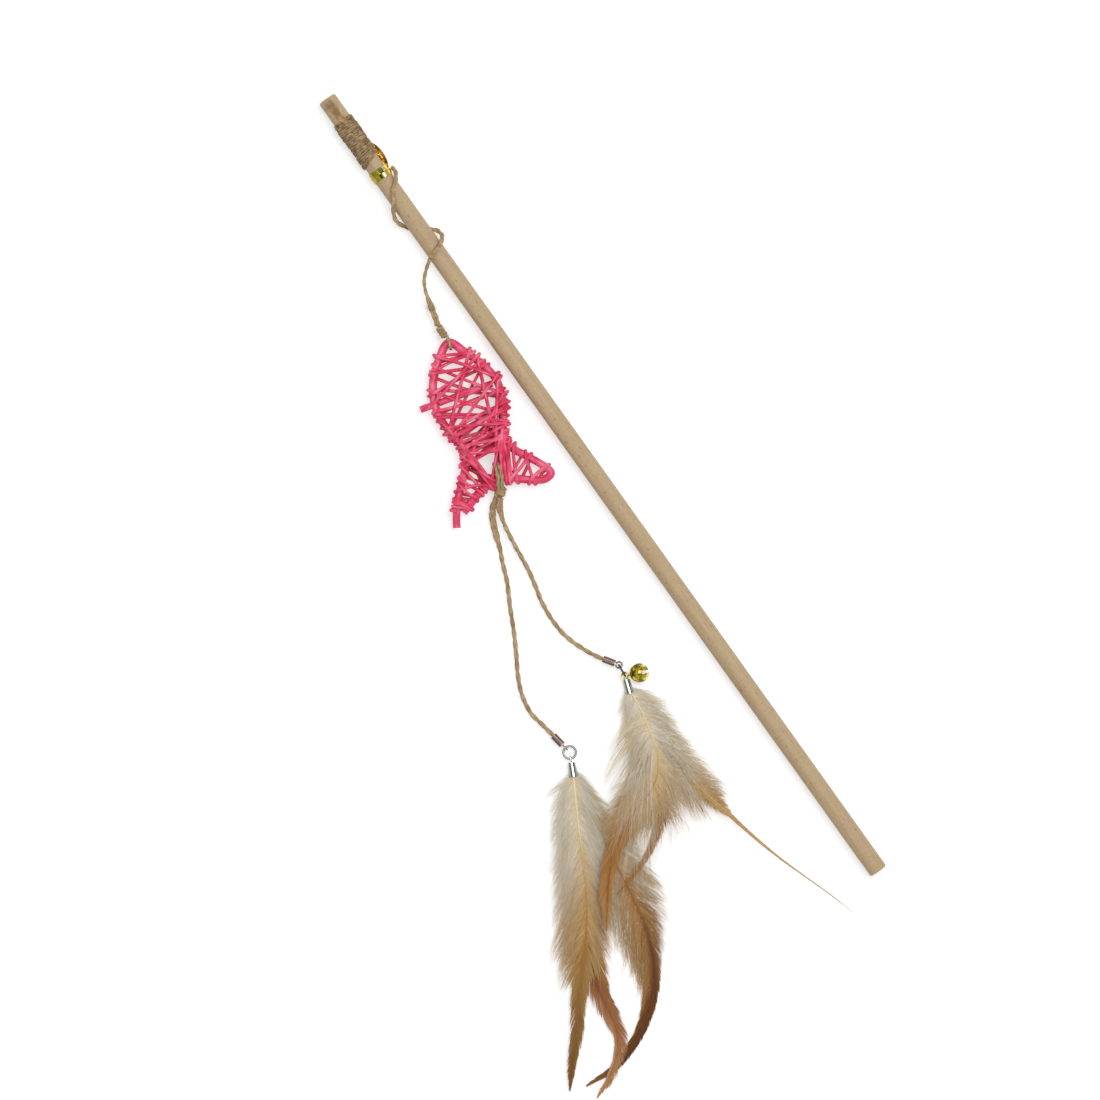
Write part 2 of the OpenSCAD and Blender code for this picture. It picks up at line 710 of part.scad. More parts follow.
right_end = cap_neck + cap_l * 0.92;
module right_feather_brown() {
  color("sienna")
    in_right_tassel()
      feather(right_end, right_brown_l, [15, 6, 2, -26, -55, -50, -38, -29, -18, -18],
        [0, 0.2, 0.5, 0.6, 0.4, 0.35, 0.35, 0.3, 0.2, 0.02],
        [0, 0.3, 0.8, 1, 0.9, 0.5, 0.35, 0.3, 0.2, 0.02], right_vane, 0, quill_spread, right_levels[0]);
}
module right_feather_bare_tip() {
  color("wheat")
    in_right_tassel()
      feather(right_end, right_bare_l, [6, 20, 21, 30, 33, 31, 34, 38, 39, 36],
        [0, 0.1, 0.4, 0.6, 0.6, 0.3, 0.08, 0.05, 0.04, 0.02],
        [0, 0.05, 0.5, 0.6, 0.6, 0.4, 0.1, 0.05, 0.04, 0.02], right_vane,
        quill_spread, -quill_spread * 0.7, right_levels[1]);
}
module right_feather_narrow() {
  color("saddlebrown")
    in_right_tassel()
      feather(right_end, right_narrow_l, [4, 4, 2, 0, -3, -18, -28, -42, -52, -57],
        [0, 0.05, 0.6, 0.7, 0.7, 0.5, 0.25, 0.2, 0.15, 0.02],
        [0, 0.2, 0.6, 0.8, 0.8, 0.5, 0.3, 0.25, 0.2, 0.02], right_vane,
        -quill_spread, -quill_spread * 0.7, right_levels[2]);
}

// BELL

// The bell's own frame starts at its middle, and x runs from its eye to its slit
bell_heading = 245;
bell_r = bell_d / 2;
bell_in = bell_r - bell_wall;
bell_neck = bell_r + clear * 1.5 + eye_wire / 2 + eye_r;
bell_eye_xy = right_ring_xy + sqrt(ring_r * ring_r - bell_rise * bell_rise)
  * [cos(right_ring_heading), sin(right_ring_heading)];
bell_xy = bell_eye_xy + bell_neck * [cos(bell_heading), sin(bell_heading)];
bell_z = table_z + bell_r;
shell_gap = 0.05;
stem_d = 1;
module in_bell() {
  at_place(bell_xy, bell_z, bell_heading)
    children();
}
// Half of the shell, on the side of the slit or on the side of the eye
module half_shell(side) {
  rotate([0, 90 * side, 0])
    rotate_extrude()
      intersection() {
        difference() {
          circle(r = bell_r);
          circle(r = bell_in);
        }
        translate([0, shell_gap / 2])
          square(bell_r + over);
      }
}
module bell_upper_shell() {
  color("gold")
    in_bell()
      difference() {
        half_shell(-1);
        translate([-bell_r - over, 0, 0])
          rotate([0, 90, 0])
            cylinder(d = stem_d + shell_gap * 2, h = bell_wall * 2 + over);
      }
}
slit_start = 0.9;
module bell_lower_shell() {
  color("gold")
    in_bell()
      difference() {
        half_shell(1);
        translate([slit_start + slit_hole_d / 2, -slit_w / 2, -bell_r - over])
          cube([bell_r + over, slit_w, (bell_r + over) * 2]);
        translate([slit_start + slit_hole_d / 2, 0, -bell_r - over])
          cylinder(d = slit_hole_d, h = (bell_r + over) * 2);
      }
}
// The eye's stem passes through the upper shell and is headed over inside
module bell_loop() {
  head = bell_wall;
  head_x = sqrt(bell_in * bell_in - stem_d * stem_d) - seat;
  color("gold")
    in_bell() {
      translate([-bell_neck, 0, 0])
        eye(false);
      translate([-bell_neck + eye_r, 0, 0])
        rotate([0, 90, 0])
          cylinder(d = stem_d, h = bell_neck - eye_r - head_x + head / 2);
      translate([-head_x, 0, 0])
        rotate([0, 90, 0])
          cylinder(r = stem_d, h = head);
    }
}
module bell_pellet() {
  color("dimgray")
    in_bell()
      translate([0, 0, -bell_in + pellet_d / 2 + seat])
        sphere(d = pellet_d);
}

rod();
tip_binding();
binding_tail();
gold_tie_band();
gold_tie_tail();
twine_wrap();
upper_twine();
twine_knot();
nose_loop();
fish_frame_cane();
fish_cross_cane();
fish_body_winding();
left_fin_winding();
right_fin_winding();
tail_hitch();
left_string();
left_cord_end();
left_ring();
left_feather_cap();
left_feather_straight();
left_feather_curled();
left_feather_dark();
right_string();
right_cord_end();
right_ring();
right_feather_cap();
right_feather_brown();
right_feather_bare_tip();
right_feather_narrow();
bell_upper_shell();
bell_lower_shell();
bell_loop();
bell_pellet();
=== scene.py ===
# %% [markdown]
# # A cat teaser wand, dressed
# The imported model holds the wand's solids in metres: a beech dowel, a jute binding, a wicker fish, two strings,
# their metal fittings, six feathers and a bell. It could be painted as it is, but the cords, windings and
# feathers are plain there, so this script keeps the solids as a frame and lays richer pieces in their places.
# The camera, the lamps and the shaders use metres too. All other lengths here are in millimetres, which are
# easier to read at this size, and MM turns them into metres where they go into a mesh.

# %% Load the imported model
import math

import bmesh
import bpy
import numpy as np
from mathutils import Matrix, Vector


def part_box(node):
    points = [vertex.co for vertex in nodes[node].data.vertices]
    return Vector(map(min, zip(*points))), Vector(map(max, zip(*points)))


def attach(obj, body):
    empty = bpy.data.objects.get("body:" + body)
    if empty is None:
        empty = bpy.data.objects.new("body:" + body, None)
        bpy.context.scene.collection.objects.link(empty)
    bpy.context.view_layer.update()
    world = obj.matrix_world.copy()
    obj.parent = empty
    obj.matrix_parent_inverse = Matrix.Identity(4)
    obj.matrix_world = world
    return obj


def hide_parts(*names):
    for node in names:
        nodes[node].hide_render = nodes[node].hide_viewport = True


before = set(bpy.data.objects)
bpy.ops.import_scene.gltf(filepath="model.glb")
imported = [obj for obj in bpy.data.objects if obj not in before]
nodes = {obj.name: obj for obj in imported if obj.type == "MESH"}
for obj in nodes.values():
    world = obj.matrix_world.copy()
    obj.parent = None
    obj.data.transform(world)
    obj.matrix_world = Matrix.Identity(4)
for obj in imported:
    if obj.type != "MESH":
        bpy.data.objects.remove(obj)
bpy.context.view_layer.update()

MM = 0.001
TABLE_Z = -5.75
FLOOR_Z = TABLE_Z + 0.12
scene = bpy.context.scene

# %% [markdown]
# ## Camera
# The wand was photographed from straight above, on a diagonal. A perspective camera close by would bend the
# dowel's ends, so it stands three metres up with a long lens, and its frame is 464 mm wide at the table.

# %% Camera
LOOK_AT = Vector((0.1906, 0.0340, 0.0))
IMAGE_RIGHT = Vector((-0.5813, -0.8137, 0.0))
IMAGE_UP = Vector((0.8137, -0.5813, 0.0))
FRAME_WIDTH = 0.4637
CAMERA_HEIGHT = 3.0
SENSOR = 36

camera_data = bpy.data.cameras.new("overhead_camera")
camera_data.sensor_width = SENSOR
camera_data.lens = SENSOR * CAMERA_HEIGHT / FRAME_WIDTH
camera_data.clip_end = 20
camera = bpy.data.objects.new("overhead_camera", camera_data)
camera.matrix_world = (Matrix.Translation(LOOK_AT + Vector((0, 0, CAMERA_HEIGHT)))
                       @ Matrix((IMAGE_RIGHT, IMAGE_UP, Vector((0, 0, 1)))).transposed().to_4x4())
scene.collection.objects.link(camera)
scene.camera = camera
print("lens:", round(camera_data.lens, 1))

# %% [markdown]
# ## Routes
# Every cord, cane and quill here is a line first. A few places on it come from the solids, a smooth curve goes
# through them, and it is cut into even steps, because a twist or a streak drawn on uneven steps looks uneven.

# %% Smooth lines through a few places
# A curve that goes through every place.
def smooth_route(places, per_step=8):
    p = np.asarray(places, float)
    p = np.vstack([p[:1], p, p[-1:]])
    u = np.linspace(0, 1, per_step, endpoint=False)[:, None]
    parts = [0.5 * (2 * b + (c - a) * u + (2 * a - 5 * b + 4 * c - d) * u ** 2 + (3 * b - a - 3 * c + d) * u ** 3)
             for a, b, c, d in zip(p[:-3], p[1:-2], p[2:-1], p[3:])]
    return np.vstack(parts + [p[-1:]])


# How far along the line each point is.
def run_of(points):
    return np.r_[0, np.cumsum(np.linalg.norm(np.diff(points, axis=0), axis=1))]


def spaced(points, step):
    run = run_of(points)
    t = np.linspace(0, run[-1], max(int(round(run[-1] / step)), 2) + 1)
    return np.column_stack([np.interp(t, run, points[:, k]) for k in range(3)])


def softened(points, rounds):
    p = points.copy()
    for _ in range(rounds):
        p[1:-1] = 0.25 * p[:-2] + 0.5 * p[1:-1] + 0.25 * p[2:]
    return p


# The heading at every point, and two directions square to it that don't spin along the line.
def carried_frame(points):
    along = np.gradient(points, axis=0)
    along /= np.linalg.norm(along, axis=1)[:, None]
    side = np.zeros_like(points)
    n = np.cross(along[0], (0.0, 0.0, 1.0))
    if np.linalg.norm(n) < 0.1:
        n = np.array((1.0, 0.0, 0.0))
    for i, t in enumerate(along):
        n = n - t * n.dot(t)
        n /= np.linalg.norm(n)
        side[i] = n
    return along, side, np.cross(along, side)


# %% [markdown]
# A line becomes a strand as a curve with a round bevel, which sweeps a ring along it and maps it with u along and
# v round. A row of cylinders would show its joints. The curve is made a mesh at once, and u is scaled to the
# strand's length in millimetres, so that a streak is as long on a short strand as on a long one.

# %% Pieces made from lines
def line_curve(name, paths, radius, ring=8, tapers=None, caps=True):
    curve = bpy.data.curves.new(name, "CURVE")
    curve.dimensions = "3D"
    curve.bevel_depth = radius * MM
    curve.bevel_resolution = max(ring // 2 - 2, 0)
    curve.use_fill_caps = caps
    for k, path in enumerate(paths):
        spline = curve.splines.new("POLY")
        spline.points.add(len(path) - 1)
        co = np.ones((len(path), 4))
        co[:, :3] = np.asarray(path) * MM
        spline.points.foreach_set("co", co.ravel())
        if tapers is not None:
            spline.points.foreach_set("radius", np.asarray(tapers[k], float))
    return curve


def curve_mesh(name, curve):
    holder = bpy.data.objects.new(name + "_line", curve)
    scene.collection.objects.link(holder)
    mesh = bpy.data.meshes.new_from_object(holder.evaluated_get(bpy.context.evaluated_depsgraph_get()))
    bpy.data.objects.remove(holder)
    bpy.data.curves.remove(curve)
    mesh.name = name
    return mesh


def add_piece(name, mesh, finish, body, smooth=True):
    mesh.materials.clear()
    mesh.materials.append(finish)
    if smooth:
        mesh.polygons.foreach_set("use_smooth", [True] * len(mesh.polygons))
    piece = bpy.data.objects.new(name, mesh)
    scene.collection.objects.link(piece)
    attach(piece, body)
    return piece


def strand_piece(name, paths, radius, finish, body, ring=8, tapers=None, caps=True):
    mesh = curve_mesh(name, line_curve(name, paths, radius, ring, tapers, caps))
    uv = mesh.uv_layers[0].data
    values = np.empty(len(uv) * 2, np.float32)
    uv.foreach_get("uv", values)
    values[0::2] *= np.mean([run_of(np.asarray(p))[-1] for p in paths])
    uv.foreach_set("uv", values)
    return add_piece(name, mesh, finish, body)


# %% [markdown]
# ## Shader maths
# A finish is easier to read as an expression than as a row of boxes. One small class stands for a socket and
# knows plus, minus and times, and one method makes any other node. In a ramp, three numbers are a colour as a
# screen shows it, and four are plain shares.

# %% A socket that does arithmetic, and a finish under construction
class Wire:
    def __init__(self, finish, socket):
        self.finish, self.socket = finish, socket

    def _with(self, operation, a, b, clamp=False):
        return self.finish.node("Math", {"operation": operation, "use_clamp": clamp}, {0: a, 1: b})

    def __add__(self, other):
        return self._with("ADD", self, other)

    def __sub__(self, other):
        return self._with("SUBTRACT", self, other)

    def __rsub__(self, other):
        return self._with("SUBTRACT", other, self)

    def __mul__(self, other):
        return self._with("MULTIPLY", self, other)

    __radd__ = __add__

    def clipped(self):
        return self._with("ADD", self, 0.0, True)


def srgb(red, green, blue):
    shares = (red / 255, green / 255, blue / 255)
    linear = [c / 12.92 if c <= 0.04045 else ((c + 0.055) / 1.055) ** 2.4 for c in shares]
    return (*linear, 1.0)


class Finish:
    def __init__(self, name, **constants):
        self.material = bpy.data.materials.new(name)
        self.material.use_nodes = True
        self.tree = self.material.node_tree
        self.tree.nodes.clear()
        self.shader = self.tree.nodes.new("ShaderNodeBsdfPrincipled")
        self.end = self.tree.nodes.new("ShaderNodeOutputMaterial")
        self.tree.links.new(self.shader.outputs[0], self.end.inputs[0])
        for key, value in constants.items():
            self.shader.inputs[key.replace("_", " ").title().replace("Ior", "IOR")].default_value = value

    def plug(self, socket, value):
        if isinstance(value, Wire):
            self.tree.links.new(value.socket, socket)
        else:
            socket.default_value = value

    def node(self, kind, settings=None, sockets=None, output=0):
        made = self.tree.nodes.new("ShaderNode" + kind)
        for key, value in (settings or {}).items():
            if key == "stops":
                ramp = made.color_ramp
                while len(ramp.elements) < len(value):
                    ramp.elements.new(0.5)
                for element, (place, colour) in zip(ramp.elements, value):
                    element.position = place
                    element.color = colour
            else:
                setattr(made, key, value)
        for key, value in (sockets or {}).items():
            self.plug(made.inputs[key], value)
        return Wire(self, made.outputs[output])

    def stretched(self, coordinates, scale):
        scales = scale if isinstance(scale, tuple) else (scale,) * 3
        return self.node("VectorMath", {"operation": "MULTIPLY"}, {0: coordinates, 1: scales})

    def noise(self, coordinates, scale, detail=3.0, roughness=0.5):
        return self.node("TexNoise", {}, {"Vector": self.stretched(coordinates, scale), "Scale": 1.0,
                                          "Detail": detail, "Roughness": roughness})

    def ramp(self, value, stops):
        stops = [(place, srgb(*colour) if len(colour) == 3 else colour) for place, colour in stops]
        return self.node("ValToRGB", {"stops": stops}, {0: value})

    def blend(self, share, a, b, how="MIX"):
        return self.node("Mix", {"data_type": "RGBA", "blend_type": how}, {0: share, 6: a, 7: b}, 2)

    def over_surface(self):
        return self.node("UVMap", {"uv_map": "UVMap"})

    def over_object(self):
        return self.node("TexCoord", {}, {}, "Object")

    def attribute(self, name):
        return self.node("Attribute", {"attribute_name": name}, {}, "Fac")

    def surface(self, colour=None, height=None, depth=0.0001, **others):
        if colour is not None:
            self.plug(self.shader.inputs["Base Color"], colour)
        if height is not None:
            bump = self.node("Bump", {}, {"Height": height, "Distance": depth, "Strength": 1.0})
            self.plug(self.shader.inputs["Normal"], bump)
        for key, value in others.items():
            self.plug(self.shader.inputs[key.replace("_", " ").title()], value)
        return self.material


# %% [markdown]
# ## Jute
# Jute is a bundle of dull straw-coloured fibres. They run along each ply, so the streaks are stretched along
# the strand's own map, and the same streaks lift the surface. A picture of jute would repeat; noise doesn't.

# %% Jute finish
def jute_finish(name, dark, middle, light, streaks=7.0):
    f = Finish(name, roughness=0.9, specular_ior_level=0.2)
    uv = f.over_surface()
    fine = f.noise(uv, (0.45, streaks, 1.0), 4.0, 0.65)
    broad = f.noise(f.over_object(), 350.0, 2.0)
    value = (fine * 1.5 + broad * 0.5 - 0.5).clipped()
    colour = f.ramp(value, [(0.15, dark), (0.45, middle), (0.8, light)])
    return f.surface(colour, fine, 0.00012)


jute = jute_finish("jute", (118, 92, 58), (170, 142, 104), (206, 184, 148))
jute_fuzz = jute_finish("jute_fuzz", (156, 130, 96), (190, 166, 130), (214, 196, 164))
worn_jute = jute_finish("worn_jute", (84, 62, 36), (136, 110, 76), (200, 176, 136), 4.0)
print("jute ready")

# %% [markdown]
# ## Twisted strands
# A jute twine is two plies wound round each other. One round tube would read as plastic cord, so each ply is
# its own helix round the route, and thin loose fibres stand off it at all angles.

# %% Plies and loose fibres
FIBRE_R = 0.035
FIBRE_TAPER = (1.0, 0.95, 0.8, 0.6, 0.3)


def plies(centre, offset, pitch, count=2, phase=0.0):
    _, side, up = carried_frame(centre)
    run = run_of(centre)
    out = []
    for k in range(count):
        a = 2 * np.pi * (run / pitch + k / count) + phase
        out.append(centre + offset * (np.cos(a)[:, None] * side + np.sin(a)[:, None] * up))
    return out


def loose_fibres(centre, reach, count, length, seed):
    rng = np.random.default_rng(seed)
    along, side, up = carried_frame(centre)
    out = []
    for _ in range(count):
        i = rng.integers(0, len(centre))
        a = rng.uniform(0, 2 * np.pi)
        radial = np.cos(a) * side[i] + np.sin(a) * up[i]
        way = along[i] * rng.choice((-1, 1)) * rng.uniform(0.3, 1) * 0.75 + radial * rng.uniform(0.2, 0.8)
        way /= np.linalg.norm(way)
        curl = rng.normal(0, 0.45, 3)
        size = length * rng.uniform(0.35, 1.0)
        t = np.linspace(0, 1, 5)[:, None]
        path = centre[i] + radial * reach * 0.8 + size * (way * t + curl * t * t * 0.7)
        path[:, 2] = np.clip(path[:, 2], FLOOR_Z, centre[i][2] + reach + 1.1)
        out.append(path)
    return out


def twine_pieces(name, node, routes, diameter, body, seed, pitch=4.6, fuzz=1.0, fuzz_length=2.2, step=0.32,
                 twist=0.145, finish=jute):
    lines = []
    fibres = []
    for k, route in enumerate(routes):
        centre = spaced(np.asarray(route), step)
        lines += plies(centre, diameter * twist, diameter * pitch, phase=k)
        fibres += loose_fibres(centre, diameter * 0.5, int(run_of(centre)[-1] * fuzz), fuzz_length, seed + k)
    strand = strand_piece(name, lines, diameter * (0.5 - twist), finish, body, ring=10)
    fluff = strand_piece(name + "_fuzz", fibres, FIBRE_R, jute_fuzz, body, ring=4,
                         tapers=[FIBRE_TAPER] * len(fibres), caps=False)
    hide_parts(node)
    return strand, fluff

# %% [markdown]
# ## The three free cords
# The upper twine joins the dowel to the fish, and two strings join the fish to the feathers. Their routes are
# the ones of the solids: the twine comes down from the dowel to the fish's height, and the strings leave the
# knot at the tail, sink to the table and lie there in slack curves up to their metal ends.

# %% Routes of the cords
FISH_Z = -0.09
NOSE = np.array((288.3, 17.1))
FISH_TURN = math.radians(164.6)
LOW_Z = -4.75
LEFT_Z = -3.6
RIGHT_Z = -2.65
KNOT_HALF = 1.15

upper_route = [(x, y, FISH_Z + a * (4 - FISH_Z)) for x, y, a in (
    (319.8, 3.9, .86), (318.6, 5.6, .66), (317.2, 7.6, .48), (315.5, 9.6, .3), (313.2, 11.6, .15),
    (310.2, 13.1, .05), (306.8, 14.2, 0), (302.8, 15.3, 0), (298.6, 16.3, 0), (295.0, 17.5, 0))]


def string_route(places, start_z, end_z):
    return [(x, y, LOW_Z + abs(a) * ((start_z if a < 0 else end_z) - LOW_Z)) for x, y, a in places]


left_route = string_route((
    (221.6, 39.2, -1), (220.5, 41.2, -.86), (218.8, 43.5, -.66), (215.8, 45.8, -.4), (212, 47.6, -.18),
    (207.5, 49.4, -.04), (203, 51, 0), (197, 53.8, 0), (190.9, 56.2, 0), (185.8, 58.9, 0), (180.8, 61.7, 0),
    (171.3, 66.5, 0), (162, 71.8, 0), (155.7, 75.6, 0), (147.9, 79.1, 0), (139.6, 80.6, .2), (133.2, 79.6, .7),
    (128, 78.7, 1), (124.7, 78.2, 1), (121.4, 77.7, 1)), FISH_Z - KNOT_HALF, LEFT_Z)
right_route = string_route((
    (220.5, 38.2, -1), (218.8, 40, -1), (216.2, 41.5, -.92), (212, 43, -.75), (206.6, 44.1, -.5),
    (198.4, 45.2, -.16), (189.6, 46.2, 0), (181.2, 48, 0), (173.4, 49.8, 0), (163.5, 50.4, 0),
    (155.2, 49.2, .1), (147.5, 46.4, .5), (141.9, 43.6, 1), (139.2, 41.8, 1), (136.5, 40, 1)),
    FISH_Z + KNOT_HALF, RIGHT_Z)
print("routes:", [round(float(run_of(np.array(r))[-1])) for r in (upper_route, left_route, right_route)], "mm")

# %% [markdown]
# Near its knots a cord is loosely laid, and a second strand shows beside the first. So part of each route is
# drawn twice, a little apart. The cord's solid is only a stiff stand-in, and the call gives the real one's
# thickness and its route.

CORD_STEP = 0.32
APART_AT_START, APART_AT_END = 0.5, 0.52


def free_cord(name, node, body, route, diameter, seed, doubled):
    centre = spaced(smooth_route(route), CORD_STEP)
    first, last = doubled[0], doubled[1] or len(centre)
    part = centre[first:last]
    _, side, _ = carried_frame(part)
    share = np.linspace(0, 1, len(part))[:, None]
    if first == 0:
        apart = APART_AT_START * np.clip(4 * (1 - share), 0, 1) * side
    else:
        apart = APART_AT_END * np.clip(3 * share, 0, 1) * side
    lines = [np.vstack([centre[:first], part + apart, centre[last:]]), part - apart]
    strand, fluff = twine_pieces(name, node, lines, diameter, body, seed)


free_cord("upper_twine_strand", "upper_twine", "upper_twine_piece", upper_route, 1.6, 3, (50, None))
free_cord("left_string_strand", "left_string", "left_string_piece", left_route, 2.0,
          5, (0, 70))
free_cord("right_string_strand", "right_string", "right_string_piece", right_route, 2.0,
          7, (0, 26))

# %% [markdown]
# ## Windings and knots of jute
# The binding is one strand wound tight near the tip, its end frayed over the last centimetre. The knots are
# short coils of the same strand. A solid barrel would hide the strand, so each knot really winds.

# %% The binding near the tip
def round_dowel(xs, turns, radius):
    a = np.radians(turns)
    return np.column_stack([xs, radius * np.sin(a), radius * np.cos(a)])


BIND_START, BIND_END, BIND_TURNS = 367.9, 388.6, 31
BIND_RADIUS, BIND_D, BIND_SLANT, FIRST_TURN = 4.36, 0.95, 1.7, -30
turn = np.linspace(0, 360 * BIND_TURNS, 60 * BIND_TURNS)
wobble = 0.16 * np.sin(np.radians(turn * 0.37)) + 0.1 * np.sin(np.radians(turn * 0.093 + 40))
bulge = BIND_RADIUS + 0.06 * np.sin(np.radians(turn * 0.21)) + 0.12 * np.sin(np.radians(turn * 0.057))
slanted = BIND_SLANT * np.sin(np.radians(turn + FIRST_TURN)) * np.clip(1 - turn / 3600, 0, 1)
binding_line = round_dowel(np.linspace(BIND_START, BIND_END, len(turn)) + wobble - slanted, turn + FIRST_TURN, bulge)
twine_pieces("binding", "tip_binding", [binding_line], BIND_D, "wand", 21, pitch=7.3, fuzz=0.35,
             fuzz_length=1.6, step=0.45, twist=0.14, finish=worn_jute)
print("binding strand:", round(run_of(binding_line)[-1]), "mm in", BIND_TURNS, "turns")

# %% [markdown]
# Past the binding the strand's end has come apart over the dowel. A flat tuft would look painted on, so each
# fibre is a thin curve of its own: a few thick ones that keep the twist, and many fine ones that fan out.

# %% Its frayed end
frayed_jute = jute_finish("frayed_jute", (108, 76, 44), (172, 138, 94), (228, 206, 164), 2.0)
FRAY_FIBRES, THICK_FIBRES, FRAY_POINTS = 46, 5, 17
FRAY_START, THICK_END, THIN_END = 386.6, 396.5, 400.2
FRAY_RADIUS, FRAY_R = 4.15, 0.13
fray_rng = np.random.default_rng(31)
fray = []
fray_tapers = []
for k in range(FRAY_FIBRES):
    thick = k < THICK_FIBRES
    s = np.linspace(0, 1, FRAY_POINTS)
    end = (THICK_END if thick else THIN_END) - fray_rng.uniform(0, 3.5)
    bundle = -14 + 32 * s ** 1.4 + 8 * np.sin(s * 5.5)
    spread = fray_rng.normal(0, 3 if thick else 5) + fray_rng.normal(0, 6 if thick else 21) * s ** 1.6
    wave = (6.5 if thick else 3) * np.sin(s * (13 if thick else 8) + (k * 1.25 if thick else fray_rng.uniform(0, 6)))
    over = (0.55 if thick else 0.9 * fray_rng.random()) * (1 - s * 0.6) + 0.3 * np.sin(s * np.pi)
    fray.append(round_dowel(FRAY_START + (end - FRAY_START) * s, bundle + spread + wave, FRAY_RADIUS + over))
    fray_tapers.append(np.linspace(1.0, 0.35, FRAY_POINTS) * (3.1 if thick else 0.85))
tail = strand_piece("binding_fray", fray, FRAY_R, frayed_jute, "wand", ring=6, tapers=fray_tapers, caps=False)
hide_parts("binding_tail")
print("frayed fibres:", len(fray))

# %% [markdown]
# From the tie the twine goes loosely round the dowel before it leaves for the fish. Its places are a distance
# back from the tie, a turn round the dowel and a lift off the wood, because that is how it was wound.

# %% The twine wound round the dowel
WRAP_START, WRAP_RADIUS, WRAP_FLOOR = 361, 4.95, TABLE_Z + 1.0
WRAP_STOPS = [
    (0.4, -96, .5), (2.4, -82, .9), (5.4, -50, .5), (7.8, -15, .3), (11.5, 18, .3), (15.5, 55, .5), (19.5, 86, 1.2),
    (23, 115, .6), (25.6, 145, .2), (28.2, 180, 0), (30.4, 215, .2), (32.6, 248, .8), (35.8, 274, 1.2),
    (38.2, 310, .5), (39.6, 352, .3), (40.8, 398, .3)]
wrap_places = [(WRAP_START - back, (WRAP_RADIUS + lift) * math.sin(math.radians(t)),
                max((WRAP_RADIUS + lift) * math.cos(math.radians(t)), WRAP_FLOOR)) for back, t, lift in WRAP_STOPS]
wrap_line = smooth_route(wrap_places)
twine_pieces("dowel_twine", "twine_wrap", [wrap_line], 1.95, "wand", 41, fuzz=1.3)
print("twine round the dowel:", round(run_of(wrap_line)[-1]), "mm")

# %% [markdown]
# A knot is too tangled to follow. Seen from outside it is a short fat coil round the strand it holds, so it is
# made as one. Places on the fish are measured from its nose along its own length, and then turned into the
# wand's places.

# %% Coils for the knots
def from_fish(points):
    p = np.atleast_2d(np.asarray(points, float))
    c, s = math.cos(FISH_TURN), math.sin(FISH_TURN)
    return np.column_stack([NOSE[0] + p[:, 0] * c - p[:, 1] * s, NOSE[1] + p[:, 0] * s + p[:, 1] * c,
                            p[:, 2] + FISH_Z])


def to_fish(x, y):
    c, s = math.cos(FISH_TURN), math.sin(FISH_TURN)
    x, y = x - NOSE[0], y - NOSE[1]
    return np.array((x * c + y * s, y * c - x * s, 0))


def knot_coil(centre, way, radius, turns, pitch, seed, tilt=0.35):
    rng = np.random.default_rng(seed)
    way = np.asarray(way, float) / np.linalg.norm(way)
    side = np.cross(way, (0, 0, 1.0))
    side /= np.linalg.norm(side)
    up = np.cross(side, way)
    a = np.linspace(0, 2 * np.pi * turns, int(28 * turns))
    x = pitch * (a / (2 * np.pi) - turns / 2) + tilt * np.sin(a) + rng.normal(0, 0.03, len(a))
    r = radius * (1 - 0.12 * np.cos(a * 2 / max(turns, 1)))
    return np.asarray(centre) + x[:, None] * way + (r * np.cos(a))[:, None] * side + (r * np.sin(a))[:, None] * up


# %% [markdown]
# The small knot is two coils across each other. At the nose a ring goes round the cane, and a coil runs from it
# to the twine. The places of the frame cane come here too: shares of the fish's length and of its half width.

# %% Knots on the upper twine and at the nose
upper_line = smooth_route(upper_route)
KNOT_POINT = 56
knot_at = upper_line[KNOT_POINT]
knot_side = upper_line[KNOT_POINT + 4] - upper_line[KNOT_POINT - 4]
twine_pieces("small_knot", "twine_knot",
             [knot_coil(knot_at, knot_side, 0.85, 2.2, 0.95, 51),
              knot_coil(knot_at, (knot_side[1], -knot_side[0], 0.4), 0.9, 1.3, 0.8, 53)],
             1.2, "upper_twine_piece", 52, fuzz=6.0, fuzz_length=3.4)

FISH_LENGTH, FISH_HALF = 64, 15
FRAME_SHARES = [
    (1.195, -1.6), (1.117, -1.493), (1.023, -1.3), (.906, -.973), (.813, -.707), (.727, -.613), (.625, -.793),
    (.508, -.953), (.391, -.993), (.281, -.893), (.18, -.667), (.094, -.373), (.037, -.127), (.042, .07),
    (.133, .333), (.234, .64), (.359, .867), (.492, .86), (.625, .687), (.734, .48), (.836, .667), (.93, 1.027),
    (1.016, 1.32), (1.069, 1.42), (1.091, 1.213), (1.081, 1.0), (1.045, .633), (.994, .2), (.994, -.2),
    (1.02, -.6), (1.075, -1.02), (1.114, -1.28)]
frame_line = smooth_route([(x * FISH_LENGTH, y * FISH_HALF, 0) for x, y in FRAME_SHARES], 10)
nose_at = np.array((1.9, -0.4, 0))
ring_turn = np.radians(np.linspace(-20, 350, 60))
NOSE_RING_R = 2.75
ring_shape = np.column_stack([np.cos(ring_turn), 0.12 * np.sin(ring_turn / 2), np.sin(ring_turn)])
nose_ring = nose_at + NOSE_RING_R * ring_shape
knot_way = to_fish(*upper_route[-1][:2]) - nose_at
nose_knot = knot_coil(nose_at + knot_way * 0.64, knot_way, 1.0, 4.2, 1.15, 61)
nose_core = nose_at + knot_way * np.linspace(0.3, 1.0, 24)[:, None]
twine_pieces("nose_loop_twine", "nose_loop", [from_fish(p) for p in (nose_ring, nose_knot, nose_core)],
             1.4, "fish", 62, fuzz=2.6, fuzz_length=3.0)
print("frame places:", len(FRAME_SHARES), "nose knot:", round(run_of(nose_knot)[-1]), "mm")

# %% [markdown]
# At the tail both strings hang from a hitch: two strands go over the cane and back under it, and a knot gathers
# them below. The strands follow one profile round the cane, in shares of the fish's length and their height.

